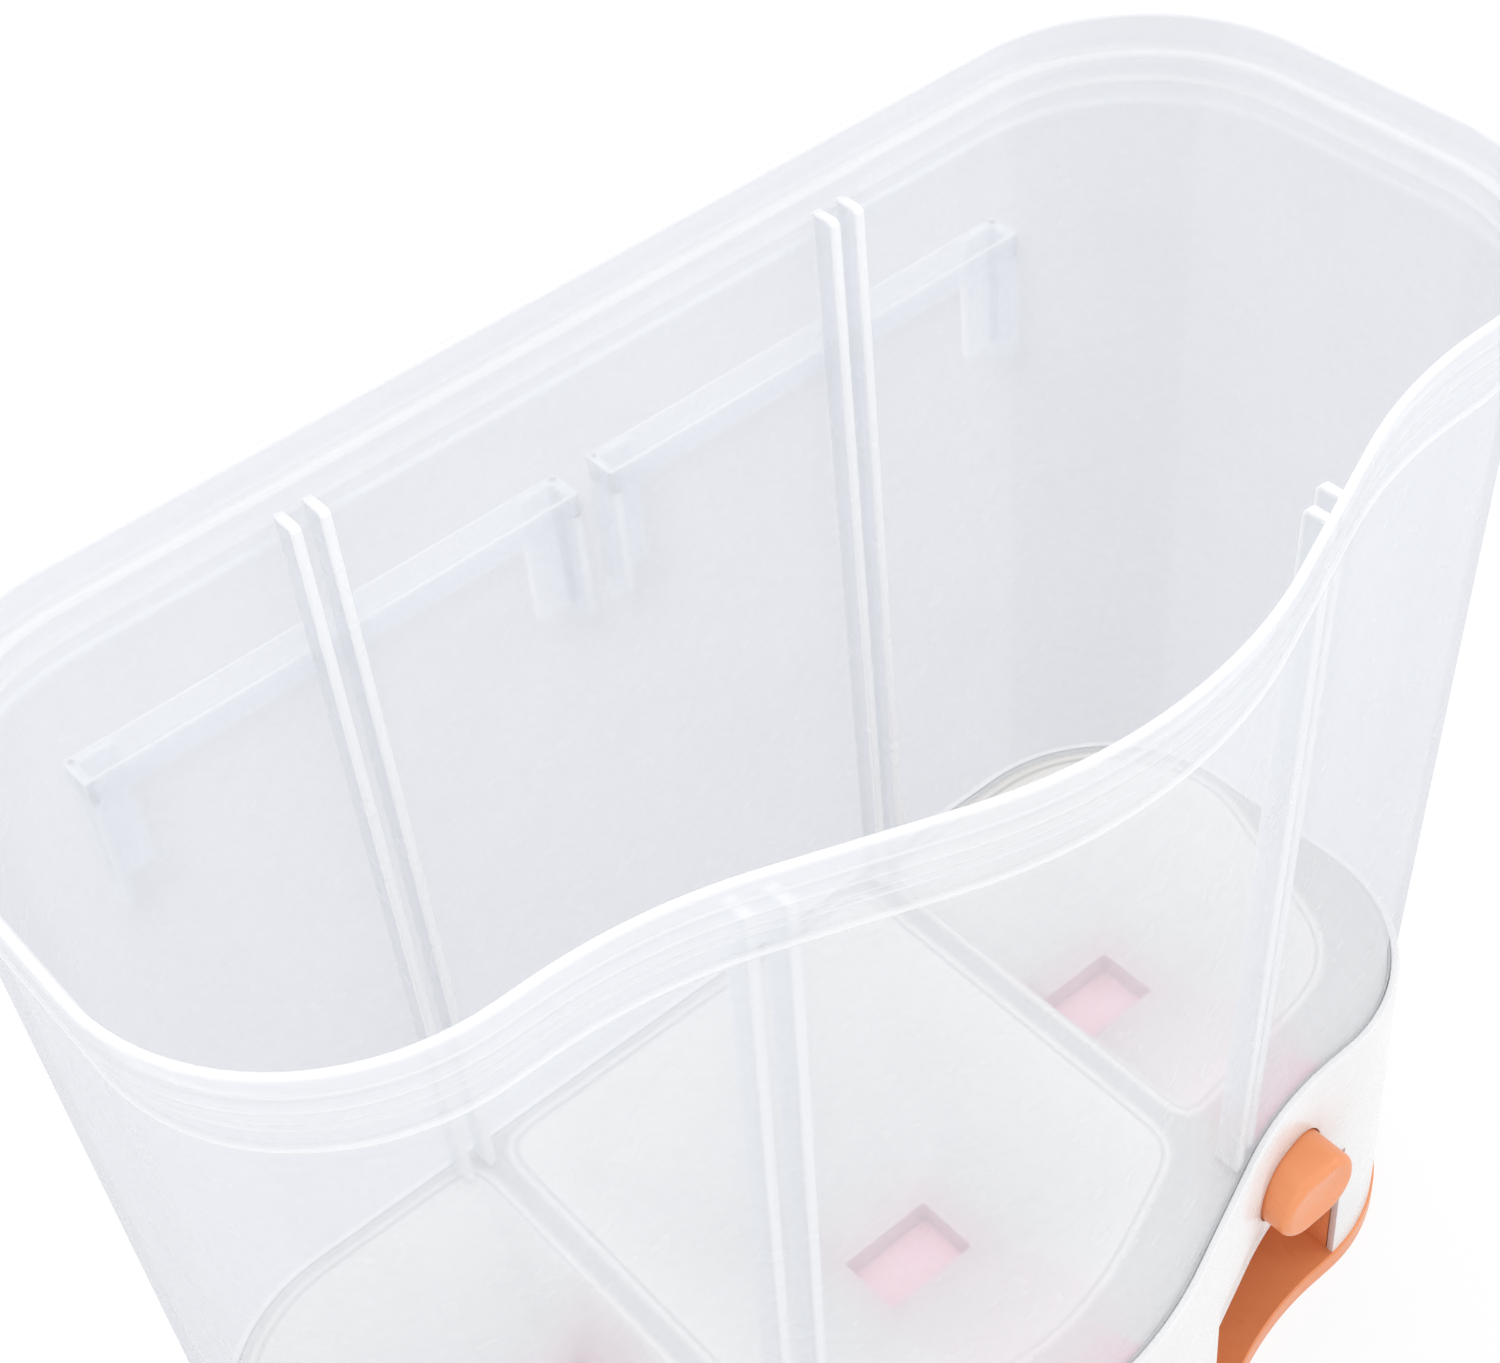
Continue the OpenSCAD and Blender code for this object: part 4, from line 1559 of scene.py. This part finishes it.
@dataclass(frozen=True)
class Studio:
    """White floor, soft light and the camera."""

    focal_mm: float = 63.8
    azimuth: float = -35.90
    elevation: float = 44.27
    roll: float = -6.39
    target: Point3 = (25.8, 59.3, 190.8)
    distance: float = 565.7
    shift: tuple[float, float] = (-0.010, -0.002)
    light_level: float = 0.84
    level_behind: float = 0.72
    floor_half: float = 4.0
    floor_drop: float = 0.0003
    paper_lit: str = "#F2F2F2"
    paper_seen: str = "#CBCCD1"
    paper_glow: float = 1.06
    glow_share: float = 0.85
    sensor_mm: float = 36.0
    clip: tuple[float, float] = (0.01, 20.0)
    aim: Point3 = (0, 0, 0.15)
    lamps: tuple[tuple[str, Point3, float, float], ...] = (
        ("key", (-0.9, -1.5, 1.1), 1.1, 6), ("fill", (1.5, -0.9, 0.9), 1.2, 5),
        ("top", (0.0, 0.3, 1.9), 1.4, 9), ("back", (-0.3, 1.7, 0.8), 1.4, 5))

    def camera(self) -> None:
        """The camera, high in front of the left end."""
        az, el, roll = (math.radians(v) for v in (self.azimuth, self.elevation, self.roll))
        back = Vector((math.sin(az) * math.cos(el), -math.cos(az) * math.cos(el), math.sin(el)))
        right = Vector((math.cos(az), math.sin(az), 0.0))
        up = back.cross(right)
        turned_right = right * math.cos(roll) + up * math.sin(roll)
        turned_up = up * math.cos(roll) - right * math.sin(roll)
        data = bpy.data.cameras.new("camera")
        data.sensor_width = self.sensor_mm
        data.lens = self.focal_mm
        data.shift_x, data.shift_y = self.shift
        data.clip_start, data.clip_end = self.clip
        camera = linked("camera", data)
        rotation = Matrix((turned_right, turned_up, back)).transposed()
        place = (Vector(self.target) + back * self.distance) * MM
        camera.matrix_world = Matrix.Translation(place) @ rotation.to_4x4()
        bpy.context.scene.camera = camera

    def lamp(self, name: str, place: Point3, size: float, power: float) -> None:
        """A square softbox that faces the object, sizes in metres and watts.

        Args:
            name: Name of the lamp.
            place: Its middle in metres.
            size: Its side.
            power: Its power.
        """
        data = bpy.data.lights.new(name, "AREA")
        data.size, data.energy = size, power
        spot = Vector(place)
        turned = (spot - Vector(self.aim)).to_track_quat("Z", "Y").to_matrix().to_4x4()
        linked(name, data).matrix_world = Matrix.Translation(spot) @ turned

    def seen_directly(self, tree: Tree) -> Socket:
        """1 for rays from the camera, mirrors and glass that have crossed no milky wall.

        Args:
            tree: Node tree to add to.

        Returns:
            The share.
        """
        path = add(tree, "ShaderNodeLightPath").outputs
        clear = maths(tree, "LESS_THAN", path["Transparent Depth"], 0.5)
        direct = maths(tree, "MULTIPLY", path["Is Camera Ray"], clear)
        pair = maths(tree, "MAXIMUM", direct, path["Is Glossy Ray"])
        return maths(tree, "MAXIMUM", pair, path["Is Transmission Ray"])

    def surroundings(self) -> None:
        """A white world that lights the object plainly, and a white floor that keeps its shadow."""
        world = bpy.data.worlds.new("studio")
        bpy.context.scene.world = world
        tree = emptied(world)
        camera = add(tree, "ShaderNodeLightPath").outputs["Is Camera Ray"]
        behind = mapped(tree, camera, self.light_level, self.level_behind)
        level = mapped(tree, self.seen_directly(tree), behind, 1.0)
        sky = add(tree, "ShaderNodeBackground", None, Color=(1, 1, 1, 1), Strength=level)
        add(tree, "ShaderNodeOutputWorld", None, Surface=sky.outputs[0])
        mesh = bpy.data.meshes.new("floor")
        far, under = self.floor_half, -self.floor_drop
        mesh.from_pydata([(-far, -far, under), (far, -far, under), (far, far, under), (-far, far, under)], [],
                         [(0, 1, 2, 3)])
        floor = linked("floor", mesh)
        paper = bpy.data.materials.new("white_paper")
        tree = emptied(paper)
        camera = add(tree, "ShaderNodeLightPath").outputs["Is Camera Ray"]
        tone = add(tree, "ShaderNodeMix", {"data_type": "RGBA"}, i0=camera, i6=linear(self.paper_lit),
                   i7=linear(self.paper_seen)).outputs[2]
        matt = add(tree, "ShaderNodeBsdfDiffuse", None, Color=tone)
        glow = add(tree, "ShaderNodeEmission", None, Color=(1, 1, 1, 1), Strength=self.paper_glow)
        both = blend(tree, maths(tree, "MULTIPLY", self.seen_directly(tree), self.glow_share), matt, glow)
        add(tree, "ShaderNodeOutputMaterial", None, Surface=both.outputs[0])
        mesh.materials.append(paper)

    def build(self) -> None:
        """Sets the camera, the lamps, the world and the floor."""
        bpy.context.scene.view_settings.view_transform = "Standard"
        self.camera()
        for lamp in self.lamps:
            self.lamp(*lamp)
        self.surroundings()


# ---------------------------------------------------------------- everything


def main() -> None:
    """Builds each sub-assembly in order."""
    logging.basicConfig(level=logging.INFO, format="%(name)s: %(message)s")
    plan = Plan()
    mech = Mechanism(plan)
    Tank(plan).dress()
    HopperFloor(plan, mech).dress()
    Base(plan, mech).dress()
    for side in Side:
        Gate(mech, side).dress()
    Studio().build()


if __name__ == "__main__":
    main()
